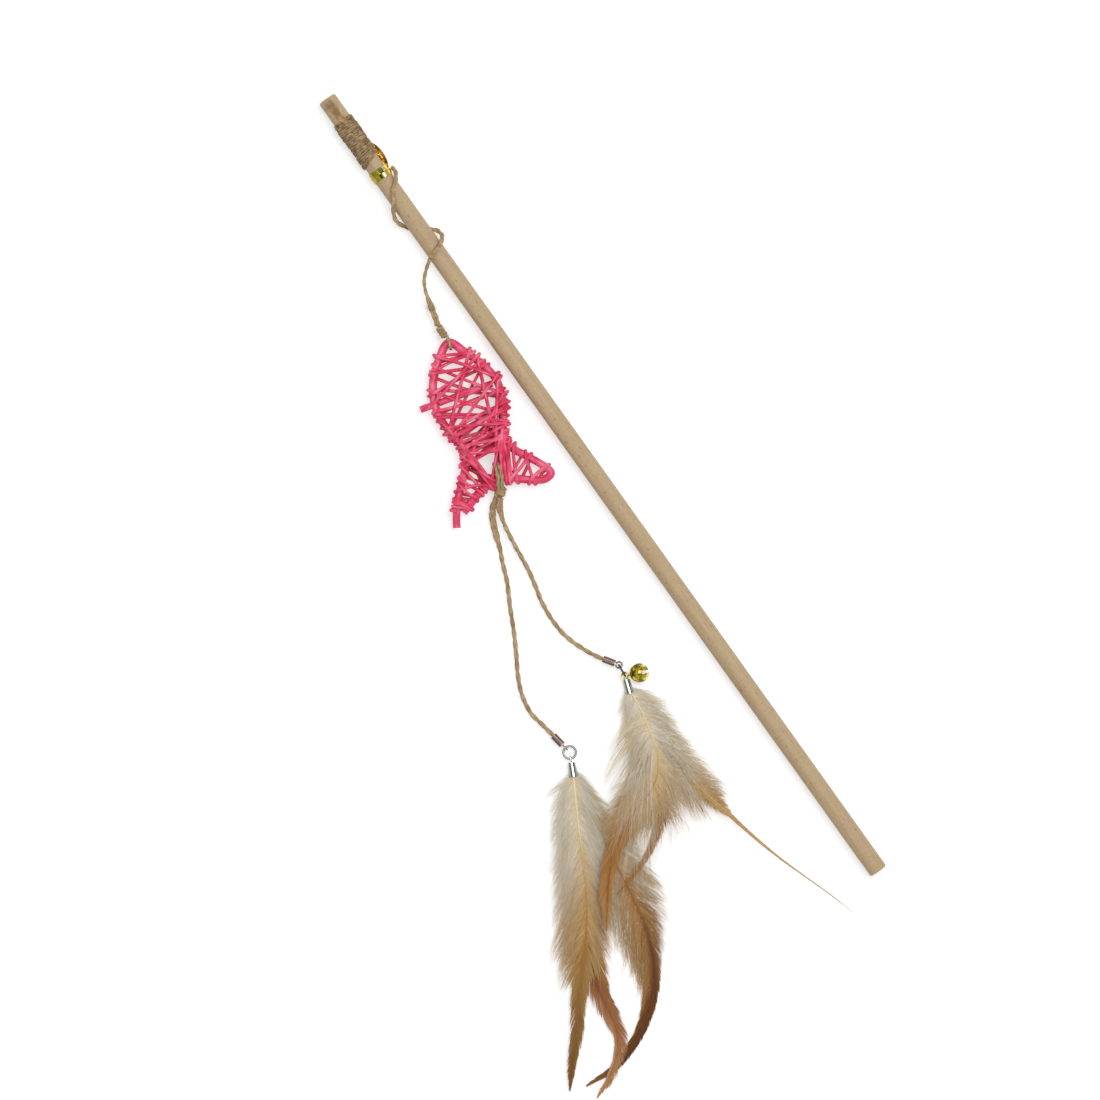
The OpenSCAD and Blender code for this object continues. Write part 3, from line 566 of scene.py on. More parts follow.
# %% The hitch at the tail
HITCH = [(1.062, .15), (1.036, .66), (.994, 1), (.944, 1.05), (.9, .8), (.882, 0), (.9, -.8), (.944, -1.05),
         (.994, -1), (1.036, -.66), (1.062, -.15)]
HITCH_FRONT, HITCH_BACK = 4.2, 2.93
hitch_lines = []
for shift in (-0.8, 0.8):
    places = []
    for x, high in HITCH:
        bow = 0.9 * math.sin((x - 0.88) / 0.18 * math.pi)
        across = -1.6 + shift + (1.066 - x) * FISH_LENGTH * 0.2 + bow
        places.append((x * FISH_LENGTH, across, high * (HITCH_FRONT if high > 0 else HITCH_BACK)))
    hitch_lines.append(from_fish(smooth_route(places)))
knot_turn = math.radians(-33)
hitch_lines.append(from_fish(knot_coil((68.2, -1.5, 0), (math.cos(knot_turn), math.sin(knot_turn), 0), 1.6, 3.2,
                                       1.15, 71, 0.5)))
for across, high in ((-0.5, 0.5), (0.5, -0.4)):
    hitch_lines.append(from_fish(np.column_stack([
        np.linspace(66.0, 71.6, 20), np.linspace(-0.6, -3.1, 20) + across, np.full(20, high - 0.3)])))
twine_pieces("tail_hitch_twine", "tail_hitch", hitch_lines, 1.8, "fish", 72, fuzz=1.6, fuzz_length=3.0)
print("hitch strands:", len(hitch_lines))

# %% [markdown]
# ## Rattan
# The fish is dyed pink rattan: split cane with long fibres and a satin skin. Streaks along the strand drive the
# colour, gloss and bump, with painted shade where they sink into grooves and painted highlight where they rise.

# %% Rattan finish
def rattan_finish(name, dark, middle, light, streaks):
    f = Finish(name, specular_ior_level=0.35, coat_weight=0.06, coat_roughness=0.4)
    uv = f.over_surface()
    fine = f.noise(uv, (0.16, streaks, 1.0), 4.0, 0.6)
    patches = f.noise(f.over_object(), 160.0, 3.0)
    value = (fine * 1.3 + patches * 0.9 - 0.6).clipped()
    # The middle stop is the cane's own pink; the dark end is painted shade in the grooves, the light end painted
    # highlight on the ridges and glossy patches.
    colour = f.ramp(value, [(0.12, dark), (0.45, middle), (0.8, light)])
    return f.surface(colour, fine, 0.0002, roughness=0.66 - patches * 0.2)


rattan = rattan_finish("pink_rattan_split", (196, 30, 66), (233, 64, 106), (251, 138, 164), 4.0)
cane_finish = rattan_finish("pink_rattan_cane", (190, 30, 66), (227, 66, 108), (246, 130, 158), 8.0)

# %% [markdown]
# ## The fish's canes
# One bent cane makes the nose, both sides and both fins, and a shorter one lies across the body. Bent rattan
# isn't a true tube: it swells and thins a little, so its radius wanders along its length.

# %% Frame cane and cross cane
CANE_R, CROSS_R, SPLIT_R = 1.72, 1.48, 0.72


def wandering(count, amount, seed):
    rng = np.random.default_rng(seed)
    x = np.linspace(0, 1, count)
    return 1 + sum(amount / (k + 1) * np.sin(x * (9 + 14 * k) + rng.uniform(0, 6)) for k in range(3))


def fish_cane(name, node, lines, radius, finish, ring, amount, seed):
    part = strand_piece(name, [from_fish(p) for p in lines], radius, finish, "fish", ring=ring,
                        tapers=[wandering(len(p), amount, seed) for p in lines])
    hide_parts(node)


cane_line = spaced(frame_line, 0.7)
cross_parts = [spaced(np.array(((24.4, a, 0.0), (24.3, (a + b) / 2, 0.05), (24.4, b, 0.0))), 0.6)
               for a, b in ((-12.9, 10.95), (-21.3, -16.3))]
fish_cane("fish_cane", "fish_frame_cane", [cane_line], CANE_R, cane_finish, 20, 0.035, 5)
fish_cane("fish_cross_cane_split", "fish_cross_cane", cross_parts, CROSS_R, cane_finish, 16, 0.03, 6)
print("frame cane:", round(run_of(cane_line)[-1]), "mm")

# %% [markdown]
# ## The fish's windings
# Thin canes cross the body over and over, and each lies on those wound before it. A regular spiral looks
# machine made. So each pass is laid in turn: it starts at its cane's height, and wherever an earlier strand is
# in its way it rises over it, as the real one does.

# %% Canes that a winding turns round
CANES = {"left": frame_line[110:4:-1], "right": frame_line[140:231], "tail": frame_line[235:306]}
TOP_LIMIT, BACK_LIMIT, LIFT_LIMIT = 5.5, 4.75, 0.9
laid = [np.column_stack([p, np.full(len(p), r)]) for p, r in (
    (cane_line, CANE_R), *((q, CROSS_R) for q in cross_parts))]
turns_laid = []
print("solid canes to wind over:", len(laid))


def stop_at(cane, value):
    line = CANES[cane]
    axis = 1 if cane == "tail" else 0
    i = int(np.clip(np.argmin(np.abs(line[:, axis] - value)), 1, len(line) - 2))
    along = line[i + 1] - line[i - 1]
    along /= np.linalg.norm(along)
    return line[i].copy(), along, np.array((along[1], -along[0], 0.0))


def lifted(cane, place):
    lift = 0.0
    for other, at, high in turns_laid:
        gap = np.linalg.norm(at - place)
        if other == cane and gap < 2 * SPLIT_R:
            lift = max(lift, high + math.sqrt(4 * SPLIT_R ** 2 - gap ** 2) * 0.9)
    return min(lift, LIFT_LIMIT)

# %% [markdown]
# The height of a pass is found along its whole length: wherever it comes over an earlier strand, it has to clear
# that strand's top, and it rises and sinks softly on both sides of it. Physics could settle the canes, but it
# would also pull them about, and they should stay on their places.

# %% The height of one pass
NOTHING_BELOW = -9.0
RISE_LENGTH = 4.5


def laid_height(xy, base, side, limit):
    need = np.full(len(xy), NOTHING_BELOW)
    for points in laid:
        d2 = (xy[:, None, 0] - points[None, :, 0]) ** 2 + (xy[:, None, 1] - points[None, :, 1]) ** 2
        room = (points[None, :, 3] + SPLIT_R) ** 2 - d2
        top = np.where(room > 0, side * points[None, :, 2] + np.sqrt(np.maximum(room, 0)), NOTHING_BELOW)
        need = np.maximum(need, top.max(axis=1))
    run = run_of(xy)
    rise = np.maximum(need - base, 0)
    spread = np.cos(np.clip((run[:, None] - run[None, :]) / RISE_LENGTH, -1, 1) * np.pi / 2) ** 2
    return np.minimum(base + (rise[None, :] * spread).max(axis=1), limit)

# %% [markdown]
# At each stop the strand goes half round its cane, from the front of the fish to the back or the other way, and
# its slope there follows the passes before and after it. Then it crosses to the next stop, a little bowed.

# %% One strand, stop by stop
CLEARANCE, LIFT_SHARE, LOOSE_END = 0.28, 0.75, 0.3
PASS_STEP, PATH_STEP, BOW = 0.6, 0.55, 0.5


def half_turn(i, info, lift, side, rng, slack, slant):
    centre, along, normal = info[i]
    before, after = info[max(i - 1, 0)][0], info[min(i + 1, len(info) - 1)][0]
    out = normal if normal.dot(2 * centre - before - after) > 0 else -normal
    slopes = [float(np.clip(way.dot(along) / max(abs(way.dot(normal)), 2.0), -slant, slant))
              for way in (centre - before, after - centre)]
    if i == 0:
        slopes[0] = -slopes[1] * LOOSE_END
    if i == len(info) - 1:
        slopes[1] = -slopes[0] * LOOSE_END
    angle = np.radians(np.arange(0, 181, 12))
    radius = CANE_R + CLEARANCE + LIFT_SHARE * lift
    share = angle / np.pi - 0.5
    lean, bend = 0.5 * (slopes[0] + slopes[1]), 0.5 * (slopes[1] - slopes[0])
    shift = radius * np.pi * (lean * share + bend * (share ** 2 - 0.25))
    outward = radius * (1 + slack * np.sin(angle) * rng.uniform(0.1, 2.0))
    return (centre + shift[:, None] * along + (outward * np.sin(angle))[:, None] * out
            + np.column_stack([np.zeros((len(angle), 2)), side * radius * np.cos(angle)]))


def one_pass(a, b, rng, sag):
    side = 1 if a[2] > 0 else -1
    s = np.linspace(0, 1, max(int(np.linalg.norm(b - a) / PASS_STEP), 4))[1:-1]
    bow = rng.normal(0, BOW) * np.sin(np.pi * s)
    across = np.array((-(b - a)[1], (b - a)[0], 0)) / np.linalg.norm(b - a)
    path = a + (b - a) * s[:, None] + bow[:, None] * across
    base = np.abs(a[2]) + (np.abs(b[2]) - np.abs(a[2])) * s - sag * np.sin(np.pi * s) ** 0.7
    path[:, 2] = side * laid_height(path, base, side, TOP_LIMIT if side > 0 else BACK_LIMIT)
    return path


def wound_strand(stops, seed, sag=0.9, slack=0.05, slant=0.6):
    rng = np.random.default_rng(seed)
    info = [stop_at(*s) for s in stops]
    rounds = []
    for i, (cane, _) in enumerate(stops):
        lift = lifted(cane, info[i][0])
        turns_laid.append((cane, info[i][0], lift))
        rounds.append(half_turn(i, info, lift, 1 if i % 2 else -1, rng, slack, slant))
    line = [rounds[0]]
    for here, following in zip(rounds, rounds[1:]):
        line += [one_pass(here[-1], following[0], rng, sag), following]
    path = softened(spaced(np.vstack(line), PATH_STEP), 4)
    path[:, 2] = np.clip(path[:, 2], -BACK_LIMIT, TOP_LIMIT)
    laid.append(np.column_stack([path, np.full(len(path), SPLIT_R)]))
    return path

# %% [markdown]
# The stops were read off the fish. L, R and T are its left side, right side and tail cane, and the number is the
# distance from the nose, or for the tail the distance across it.

# %% Wind the body and the fins
def chain(text):
    names = {"L": "left", "R": "right", "T": "tail"}
    return [(names[word[0]], float(word[1:])) for word in text.split()]


def wind(name, node, text, seed, taper_seed, **how):
    line = wound_strand(chain(text), seed, **how)
    fish_cane(name, node, [line], SPLIT_R, rattan, 12, 0.07, taper_seed)
    return run_of(line)[-1]


BODY_CHAINS = [
    "L6 R8 L11 R10 L9 R30 L19 R38 L28 R28 L29.5 R41",
    "R9 L37 R15 L20 R16.5 L13 R33 L50",
    "L37 R34 L39 R36 L43 R46 L46 R44",
    "R13 T2.5 L53 R49",
    "L6.5 R23 L24 R12",
    "L32 T-2.5 R31 L52",
    "R24 T-3.2 L41 R22",
    "L50 R46 L53 R50",
    "L43 T-1.9 R45 T-5 L38",
    "L35 R42 L41 R37 L46 R42",
    "R48 L45 R52.5 L48.5",
    "R46.5 T3.2 R51 T5.2 R48.5 T4",
    "L50 T-3 L54.5 T-7.5 L47.5 T-4.5",
    "R43 T-1.5 L58 T-10 L62.5 T-5"]
FIN_CHAINS = {
    "left_fin": "L60 T-13 L65.8 T-16.2 L66.9 T-16.9 L68 T-17.4 L69",
    "right_fin": "R53 T7.5 R59 T5 R57 T14 R65.5 T12"}
wound = sum(wind(f"body_split_{k + 1}", "fish_body_winding", text, 80 + k, 90 + k)
            for k, text in enumerate(BODY_CHAINS))
for k, (fin, text) in enumerate(FIN_CHAINS.items()):
    wound += wind(fin + "_split", fin + "_winding", text, 95 + k, 97 + k, sag=0.4, slack=0.0, slant=0.3)
print("wound cane:", round(wound), "mm")

# %% [markdown]
# ## Beech, foil and metal
# The dowel is pale beech: even colour, a faint grain and the short dark flecks that tell beech from pine. The
# tie is thin gold foil, crumpled. The fittings are plated steel, and the bell is brassy.

# %% Beech
def beech_finish():
    f = Finish("beech", specular_ior_level=0.3)
    at = f.over_object()
    grain = f.noise(at, (45.0, 900.0, 900.0), 4.0, 0.6)
    bands = f.noise(at, (8.0, 160.0, 160.0), 2.0)
    flecks = f.noise(at, (620.0, 1500.0, 1500.0), 1.0, 0.4)
    ripple = f.noise(at, (1000.0, 330.0, 330.0), 2.0)
    mark = f.ramp(flecks, [(0.65, (0, 0, 0, 1)), (0.73, (1, 1, 1, 1))])
    colour = f.ramp((grain * 0.6 + bands * 0.4 + ripple * 0.3 - 0.15).clipped(),
                    [(0.25, (174, 145, 111)), (0.5, (186, 161, 126)), (0.75, (196, 173, 137))])
    colour = f.blend(mark * 0.6, colour, srgb(146, 102, 70))
    return f.surface(colour, grain + ripple * 0.5 - mark * 0.3, 0.00005, roughness=0.5 + grain * 0.2)


nodes["rod"].data.materials[0] = beech_finish()
print("beech on the dowel")

# %% [markdown]
# A studio picture in a mirror is what makes plated metal look real, but here the room is empty. So the light and
# dark bands that the photograph shows on the steel are laid across each fitting as a ramp, along its short side.

# %% Metals
RING_WIRE = 0.0009  # metres


def vertex_places(mesh):
    at = np.empty(len(mesh.vertices) * 3, np.float32)
    mesh.vertices.foreach_get("co", at)
    return at.reshape(-1, 3)


def metal_finish(name, stops, roughness, crumple=0.0, size=900.0, facets=0.0):
    f = Finish(name, metallic=1.0)
    at = f.over_object()
    if facets:
        spread = f.stretched(at, facets)
        folds = f.node("TexVoronoi", {}, {"Vector": spread, "Scale": 1.0})
        value = f.node("TexVoronoi", {}, {"Vector": spread, "Scale": 1.0}, 1)
    else:
        folds = value = f.noise(at, size, 2.0)
    return f.surface(f.ramp(value, stops), folds, crumple, roughness=roughness)


# Paints the reflection bands of a plated fitting as a ramp across its short side.
def painted_reflection_stripes(name, node, stops):
    flat = vertex_places(nodes[node].data)[:, :2].astype(float)
    _, _, axes = np.linalg.svd(flat - flat.mean(axis=0), full_matrices=False)
    across = flat @ axes[1]
    middle = (across.max() + across.min()) / 2
    width = across.max() - across.min()
    f = Finish(name, metallic=1.0)
    place = f.node("VectorMath", {"operation": "DOT_PRODUCT"}, {0: f.over_object(), 1: (*axes[1], 0.0)}, 1)
    cloud = f.noise(f.over_object(), 900.0, 2.0)
    spot = (place - float(middle)) * float(1 / width) + cloud * 0.06 + 0.47
    print(name, "width", round(width * 1000, 2), "mm")
    return f.surface(f.ramp(spot.clipped(), stops), cloud, 0.00001, roughness=0.3)


def painted_reflection_ring_finish(name, node):
    low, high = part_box(node)
    middle = [(a + b) / 2 for a, b in zip(low, high)]
    outer = max(b - a for a, b in zip(low, high)) / 2
    f = Finish(name, metallic=1.0)
    away = f.node("VectorMath", {"operation": "DISTANCE"}, {0: f.over_object(), 1: middle}, 1)
    share = (away - (outer - RING_WIRE)) * (1 / RING_WIRE)
    cloud = f.noise(f.over_object(), 300.0, 2.0)
    # Painted reflection: dark along the wire's inner and outer edges, bright across its middle.
    colour = f.ramp((share + cloud * 0.4 - 0.2).clipped(), [
        (0.02, (84, 84, 80)), (0.3, (150, 150, 146)), (0.55, (204, 204, 200)), (0.75, (140, 140, 136)),
        (0.97, (72, 72, 70))])
    return f.surface(colour, roughness=0.5)


# Painted reflections: the light and dark bands of the caps' and crimps' mirror finish; the crimps' ramp also holds
# their brownish tone.
STEEL_PAINTED_REFLECTIONS = [(0.03, (92, 94, 88)), (0.1, (168, 172, 164)), (0.24, (206, 208, 202)), (0.3, (70, 72, 68)),
         (0.38, (90, 92, 88)), (0.44, (240, 242, 238)), (0.58, (236, 238, 234)), (0.64, (64, 66, 62)),
         (0.7, (96, 98, 92)), (0.76, (200, 202, 194)), (0.9, (160, 162, 152)), (0.98, (84, 84, 74))]
CRIMP_TONE_AND_PAINTED_REFLECTIONS = [(0.02, (72, 54, 46)), (0.2, (110, 88, 78)), (0.34, (160, 140, 132)), (0.46, (232, 226, 222)),
         (0.56, (118, 96, 86)), (0.8, (142, 120, 110)), (0.97, (70, 52, 44))]
# Noise scatters painted highlights, bright yellow, and painted dark reflections, dark olive, over the bell's brassy
# plate.
bell_gold_painted_highlights = metal_finish("bell_plate_painted_highlights", [(0.34, (70, 54, 8)), (0.42, (130, 102, 16)), (0.5, (186, 168, 38)),
                                             (0.58, (234, 226, 104)), (0.66, (172, 112, 30))],
                         0.24, 0.0003, 420.0)
# Each facet of the leaf gets its own shade from dark brown to bright gold: painted reflection of the crumpled foil.
leaf_foil_painted_reflections = metal_finish("leaf_foil_painted_reflections", [(0.2, (74, 42, 10)), (0.5, (170, 106, 26)), (0.8, (236, 186, 78))],
                         0.28, 0.0003, facets=600.0)
pellet_steel = metal_finish("pellet_steel", [(0.35, (80, 80, 84)), (0.6, (130, 130, 132))], 0.3, 0.00002)
plated = {"bell_upper_shell": bell_gold_painted_highlights, "bell_lower_shell": bell_gold_painted_highlights, "bell_loop": bell_gold_painted_highlights,
          "bell_pellet": pellet_steel}
for side in ("left", "right"):
    plated[side + "_cord_end"] = painted_reflection_stripes(side + "_crimp_steel", side + "_cord_end", CRIMP_TONE_AND_PAINTED_REFLECTIONS)
    plated[side + "_feather_cap"] = painted_reflection_stripes(side + "_cap_steel", side + "_feather_cap", STEEL_PAINTED_REFLECTIONS)
    plated[side + "_ring"] = painted_reflection_ring_finish(side + "_ring_steel", side + "_ring")
for node, finish in plated.items():
    nodes[node].data.materials[0] = finish
print("plated pieces:", len(plated))

# %% [markdown]
# A pressed rib parts the tie's band into two rows, and the light lies a little differently on each. So the band
# gets a ramp of its own across the dowel that paints its highlight and dark reflection bands, with a step between
# the rows and a fine crinkle added.

# %% Tie band
BAND_SPLIT, ACROSS_BAND = 0.3608, 112.0  # metres, and one over metres


def tie_band_painted_reflections_finish():
    f = Finish("gold_band_foil_painted_reflections", metallic=1.0)
    at = f.over_object()
    along = f.node("SeparateXYZ", {}, {0: at}, 0)
    across = f.node("SeparateXYZ", {}, {0: at}, 1)
    row = f.node("Math", {"operation": "GREATER_THAN"}, {0: along, 1: BAND_SPLIT})
    crinkle = f.noise(at, 420.0, 2.0)
    place = (across * ACROSS_BAND + 0.5 + row * 0.1 + crinkle * 0.1 - 0.05).clipped()
    # Painted reflections: the pale stop is a painted highlight line, the dark olive stops painted dark reflection.
    colour = f.ramp(place, [(0.0, (214, 184, 48)), (0.24, (232, 206, 76)), (0.36, (252, 248, 214)),
                            (0.42, (96, 98, 26)), (0.5, (44, 46, 14)), (0.6, (60, 62, 18)),
                            (0.64, (196, 184, 70)), (1.0, (150, 132, 30))])
    return f.surface(colour, crinkle + row * 0.6, 0.00008, roughness=0.24)


nodes["gold_tie_band"].data.materials[0] = tie_band_painted_reflections_finish()
print("tie band ready")

# %% [markdown]
# The strip that the twist tie leaves over is a thin leaf of the same foil, folded along its middle. It is
# brought in as a grid with an operator, bent to its line, and its corners are moved a little at random.

# %% Leftover strip of the tie
LEAF_START, LEAF_LENGTH, LEAF_HALF = (373.6, -3.62, 1.5), 12.4, 1.25
CREASE, CRUMPLE = 0.3, 0.04
bm = bmesh.new()
bmesh.ops.create_grid(bm, x_segments=26, y_segments=6, size=1.0)
leaf_rng = np.random.default_rng(77)
for vert in bm.verts:
    s, across = (vert.co.x + 1) / 2, vert.co.y
    half = LEAF_HALF * math.sin(math.pi * min(0.12 + 0.84 * s, 1.0)) ** 0.6
    crease = CREASE * (1 - abs(across)) + leaf_rng.normal(0, CRUMPLE)
    vert.co = Vector((LEAF_START[0] - LEAF_LENGTH * s + leaf_rng.normal(0, CRUMPLE),
                      LEAF_START[1] - half * (1 + across), LEAF_START[2] - 0.5 * half * across + crease)) * MM
bmesh.ops.recalc_face_normals(bm, faces=bm.faces)
leaf_mesh = bpy.data.meshes.new("foil_leaf")
bm.to_mesh(leaf_mesh)
bm.free()
leaf = add_piece("foil_leaf", leaf_mesh, leaf_foil_painted_reflections, "wand", smooth=False)
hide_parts("gold_tie_tail")
print("leaf faces:", len(leaf_mesh.polygons))

# %% [markdown]
# ## Feathers
# A feather is a tapered quill with barbs leaving it close together on both sides. A flat painted blade has no
# edge to catch the eye, so every barb here is its own narrow ribbon. They gather in locks, as barbs that cling
# to each other do, and the soft down near the cap is made of longer, thinner, curled ones. Every ribbon knows
# its station along the quill, its reach from the quill and a tone of its own, and the finish reads them.

# %% Barb and quill finishes
def barb_finish(name, inner, outer):
    f = Finish(name, roughness=0.75, specular_ior_level=0.15)
    station, reach, tone = (f.attribute(a) for a in ("station", "reach", "tone"))
    near = f.ramp(station, inner)
    far = f.ramp(station, outer)
    colour = f.blend(reach.clipped(), near, far)
    streak = f.noise(f.over_object(), 260.0, 3.0)
    shade = f.ramp((tone * 0.6 + streak * 0.5).clipped(),
                   [(0.15, (0.82, 0.68, 0.45, 1)), (0.5, (0.98, 0.925, 0.79, 1)), (0.85, (1.08, 1.1, 1.13, 1))])
    return f.surface(f.blend(1.0, colour, shade, "MULTIPLY"))


def quill_finish(name, stops):
    f = Finish(name, roughness=0.38, specular_ior_level=0.5)
    along = f.attribute("station")
    fine = f.noise(f.over_object(), 1500.0, 2.0)
    glint = f.ramp(fine, [(0.3, (150, 120, 80)), (0.7, (235, 222, 190))])
    colour = f.blend(0.35, f.ramp(along, stops), glint, "SOFT_LIGHT")
    return f.surface(colour, fine, 0.00003)


def down_finish(name, *tones):
    f = Finish(name, roughness=0.8, specular_ior_level=0.15)
    pale, tan = (f.ramp(f.attribute("tone"), [(0.0, low), (0.4, middle), (1.0, high)])
                 for low, middle, high in tones)
    place = f.ramp(f.attribute("station"), [(0.19, (0, 0, 0, 1)), (0.4, (1, 1, 1, 1))])
    return f.surface(f.blend(place, pale, tan))


PALE = ((192, 170, 126), (219, 208, 185), (236, 233, 227))
TAN = ((154, 112, 58), (190, 152, 98), (217, 190, 147))
BROWN = ((128, 82, 38), (166, 120, 66), (202, 166, 112))
pale_down = down_finish("pale_down", PALE, TAN)
tan_down = down_finish("tan_down", PALE, BROWN)
print("down ready")

# %% [markdown]
# A quill's line starts 1.8 mm inside its cap and stays at that height for 5 mm. Then it sinks to its level over
# the next 20, so the three feathers of a tassel lie on each other without passing through.

# %% The line of a quill
TUCK, HOLD, SINK = 1.8, 5.0, 20.0


def table_value(table, u):
    return np.interp(u, np.linspace(0, 1, len(table)), table)


def quill_line(eye, z, heading, cap_end, length, turns, side, up, level, count=140):
    u = (np.arange(count) + 0.5) / count
    a = np.radians(np.interp(u * len(turns) - 0.5, np.arange(len(turns)), turns))
    step = length / count
    x = np.r_[0, np.cumsum(np.cos(a)) * step] + cap_end - TUCK
    y = np.r_[0, np.cumsum(np.sin(a)) * step] + side
    s = np.linspace(0, length, count + 1)
    h = up + (level - up) * np.clip((s - HOLD) / SINK, 0, 1)
    c, d = math.cos(math.radians(heading)), math.sin(math.radians(heading))
    return np.column_stack([eye[0] + x * c - y * d, eye[1] + x * d + y * c, z + h])


# %% [markdown]
# Barbs leave the quill at an angle that narrows toward the tip, and bend forward. Neighbours form a lock: they
# are pulled toward one guide in its middle, and softly so where the vane is loose. The draws at random are made
# for each lock and then for each barb, so no two locks are alike.

# %% Barbs along one side of a quill
BARB_PLACES, HAIR_PLACES = 9, 10
LOCK_WIDTH, NARROWEST = (1.6, 4.2), 0.25
DROOP, DROOP_REACH = 0.5, 14


def side_barbs(line, widths, side, rng, spacing, lean, soft_end):
    run = run_of(line)
    total = run[-1]
    along = np.gradient(line, axis=0)
    along[:, 2] = 0
    along /= np.linalg.norm(along, axis=1)[:, None]
    q = np.linspace(0, 1, BARB_PLACES)

    def at_run(values, s):
        return np.array([np.interp(s, run, values[:, i]) for i in range(3)])

    def summed(slopes, length):
        return np.r_[0, np.cumsum((slopes[1:] + slopes[:-1]) / 2)] / (BARB_PLACES - 1) * length

    def barb(s, angle, size, curl, wave):
        bend = angle * (1 - 0.45 * q) + curl * q * q
        length = size / max(np.sin(angle * 0.82), 0.3)
        dx, dy = summed(np.cos(bend), length), summed(np.sin(bend), length)
        t = at_run(along, s)
        n = np.array((-t[1], t[0], 0)) * side
        path = at_run(line, s) + (dx + wave)[:, None] * t + (dy - wave * 0.4)[:, None] * n
        path[:, 2] -= DROOP * (dy / DROOP_REACH) ** 2
        return path

    paths, stations, tones, softs = [], [], [], []
    low = 0.012 * total
    while low < total * 0.99:
        soft = float(np.clip((soft_end - low / total) / 0.12 + 0.5, 0, 1))
        high = min(low + rng.uniform(*LOCK_WIDTH) * (0.4 + 0.6 * soft), total * 0.995)
        middle = (low + high) / 2
        turn_by, size_by = rng.normal(0, 0.02 + 0.1 * soft), 1 + rng.uniform(-0.16, 0.1) * (0.35 + 0.65 * soft)
        high_by = rng.uniform(-0.2, 0.2)
        pull, tone_by = rng.uniform(0.3, 0.85) * soft, rng.random()
        guide_curl, guide_wave = soft * rng.normal(0, 0.25), soft * rng.uniform(0, 1.0)
        guide = barb(middle, table_value(lean, middle / total) + turn_by,
                     table_value(widths, middle / total) * size_by * 1.06, guide_curl,
                     guide_wave * np.sin(q * rng.uniform(2, 6) + rng.uniform(0, 6)) * q)
        for s in np.arange(low, high, spacing):
            width = table_value(widths, s / total) * size_by
            if width < NARROWEST:
                continue
            share = rng.uniform(0.42, 1.12) if rng.random() < 0.45 + 0.2 * soft else rng.uniform(0.86, 1.04)
            angle = table_value(lean, s / total) + turn_by + rng.normal(0, 0.03 + 0.12 * soft)
            wave = soft * 0.7 * np.sin(q * rng.uniform(3, 8) + rng.uniform(0, 6)) * q
            path = barb(s, angle, width * share, soft * rng.normal(0, 0.3), wave)
            near = np.column_stack([np.interp(q * min(share, 1), q, guide[:, i]) for i in range(3)])
            path += pull * (q ** 1.5)[:, None] * (near - path)
            rise = (high_by + soft * rng.uniform(-0.7, 0.5)) * q + rng.uniform(-0.1, 0.1)
            path[:, 2] += rise + 0.12 * np.sin(q * 3.1)
            path[:, 2] = np.maximum(path[:, 2], FLOOR_Z)
            paths.append(path)
            stations.append(s / total)
            tones.append(0.5 * tone_by + 0.5 * rng.random())
            softs.append(soft)
        low = high
    return paths, stations, tones, softs


def down_hairs(line, spec, rng):
    count = len(line)
    q = np.linspace(0, 1, HAIR_PLACES)[:, None]
    hairs, places = [], []
    for _ in range(spec["down"]):
        s = rng.uniform(0.0, spec["soft"] + 0.02)
        side, widths = (1, spec["left"]) if rng.random() < 0.5 else (-1, spec["right"])
        i = min(int(s * (count - 1)), count - 2)
        t = line[i + 1] - line[i]
        t = t / np.linalg.norm(t)
        n = np.array((-t[1], t[0], 0)) * side
        angle = rng.uniform(0.4, 1.2) * (1 - 0.35 * q)
        size = table_value(widths, s) * rng.uniform(0.5, 1.25) / max(math.sin(float(angle[0, 0]) * 0.85), 0.5)
        curl = 0.9 * np.sin(q * rng.uniform(3, 8) + rng.uniform(0, 6)) * q
        path = line[i] + size * q * (np.cos(angle) * t + np.sin(angle) * n) + curl * (t - 0.4 * n)
        path[:, 2] += rng.uniform(-0.9, 0.9) * q[:, 0]
        path[:, 2] = np.clip(path[:, 2], FLOOR_Z, line[i][2] + 1.0)
        hairs.append(path)
        places.append(s)
    return hairs, places

# %% [markdown]
# A ribbon is an extruded curve, turned so that it lies flat. Its points carry the three values that the finish
# reads. A strand of round tubes would need four times the faces for something this thin.

# %% Ribbons with a colour place on every point
SHAFT_R, BARB_HALF, HAIR_HALF = 0.42, 0.115, 0.05
SPACING, LEAN = 0.13, (.85, .72, .62, .52, .4, .3)
BASE_IN, BASE_OUT = (216, 199, 164), (232, 229, 222)


def point_values(mesh, **values):
    for key, array in values.items():
        mesh.attributes.new(key, "FLOAT", "POINT").data.foreach_set("value", array.astype(np.float32))


def ribbon_piece(name, paths, half_width, tapers, stations, tones, finish, tassel, reaches):
    curve = line_curve(name, paths, 0.0, 4, tapers, False)
    curve.extrude = half_width * MM
    curve.twist_mode = "Z_UP"
    for spline in curve.splines:
        spline.points.foreach_set("tilt", [math.pi / 2] * len(spline.points))
    mesh = curve_mesh(name, curve)
    per = len(paths[0])
    along_ribbon = np.repeat(np.linspace(0, 1, per), 2)[None, :]
    point_values(mesh, station=np.repeat(stations, per * 2), tone=np.repeat(tones, per * 2),
                 reach=(np.array(reaches, float)[:, None] * along_ribbon).ravel())
    return add_piece(name, mesh, finish, tassel["side"] + "_feathers")


def quill_piece(name, line, radius, stops, tassel):
    taper = np.linspace(1, 0.22, len(line)) ** 0.9
    mesh = curve_mesh(name, line_curve(name, [line], radius, 8, [taper], True))
    away = ((vertex_places(mesh)[:, None, :] / MM - line[None, ::2, :]) ** 2).sum(-1)
    point_values(mesh, station=np.argmin(away, axis=1) * 2 / (len(line) - 1))
    add_piece(name, mesh, quill_finish(name, stops), tassel["side"] + "_feathers")


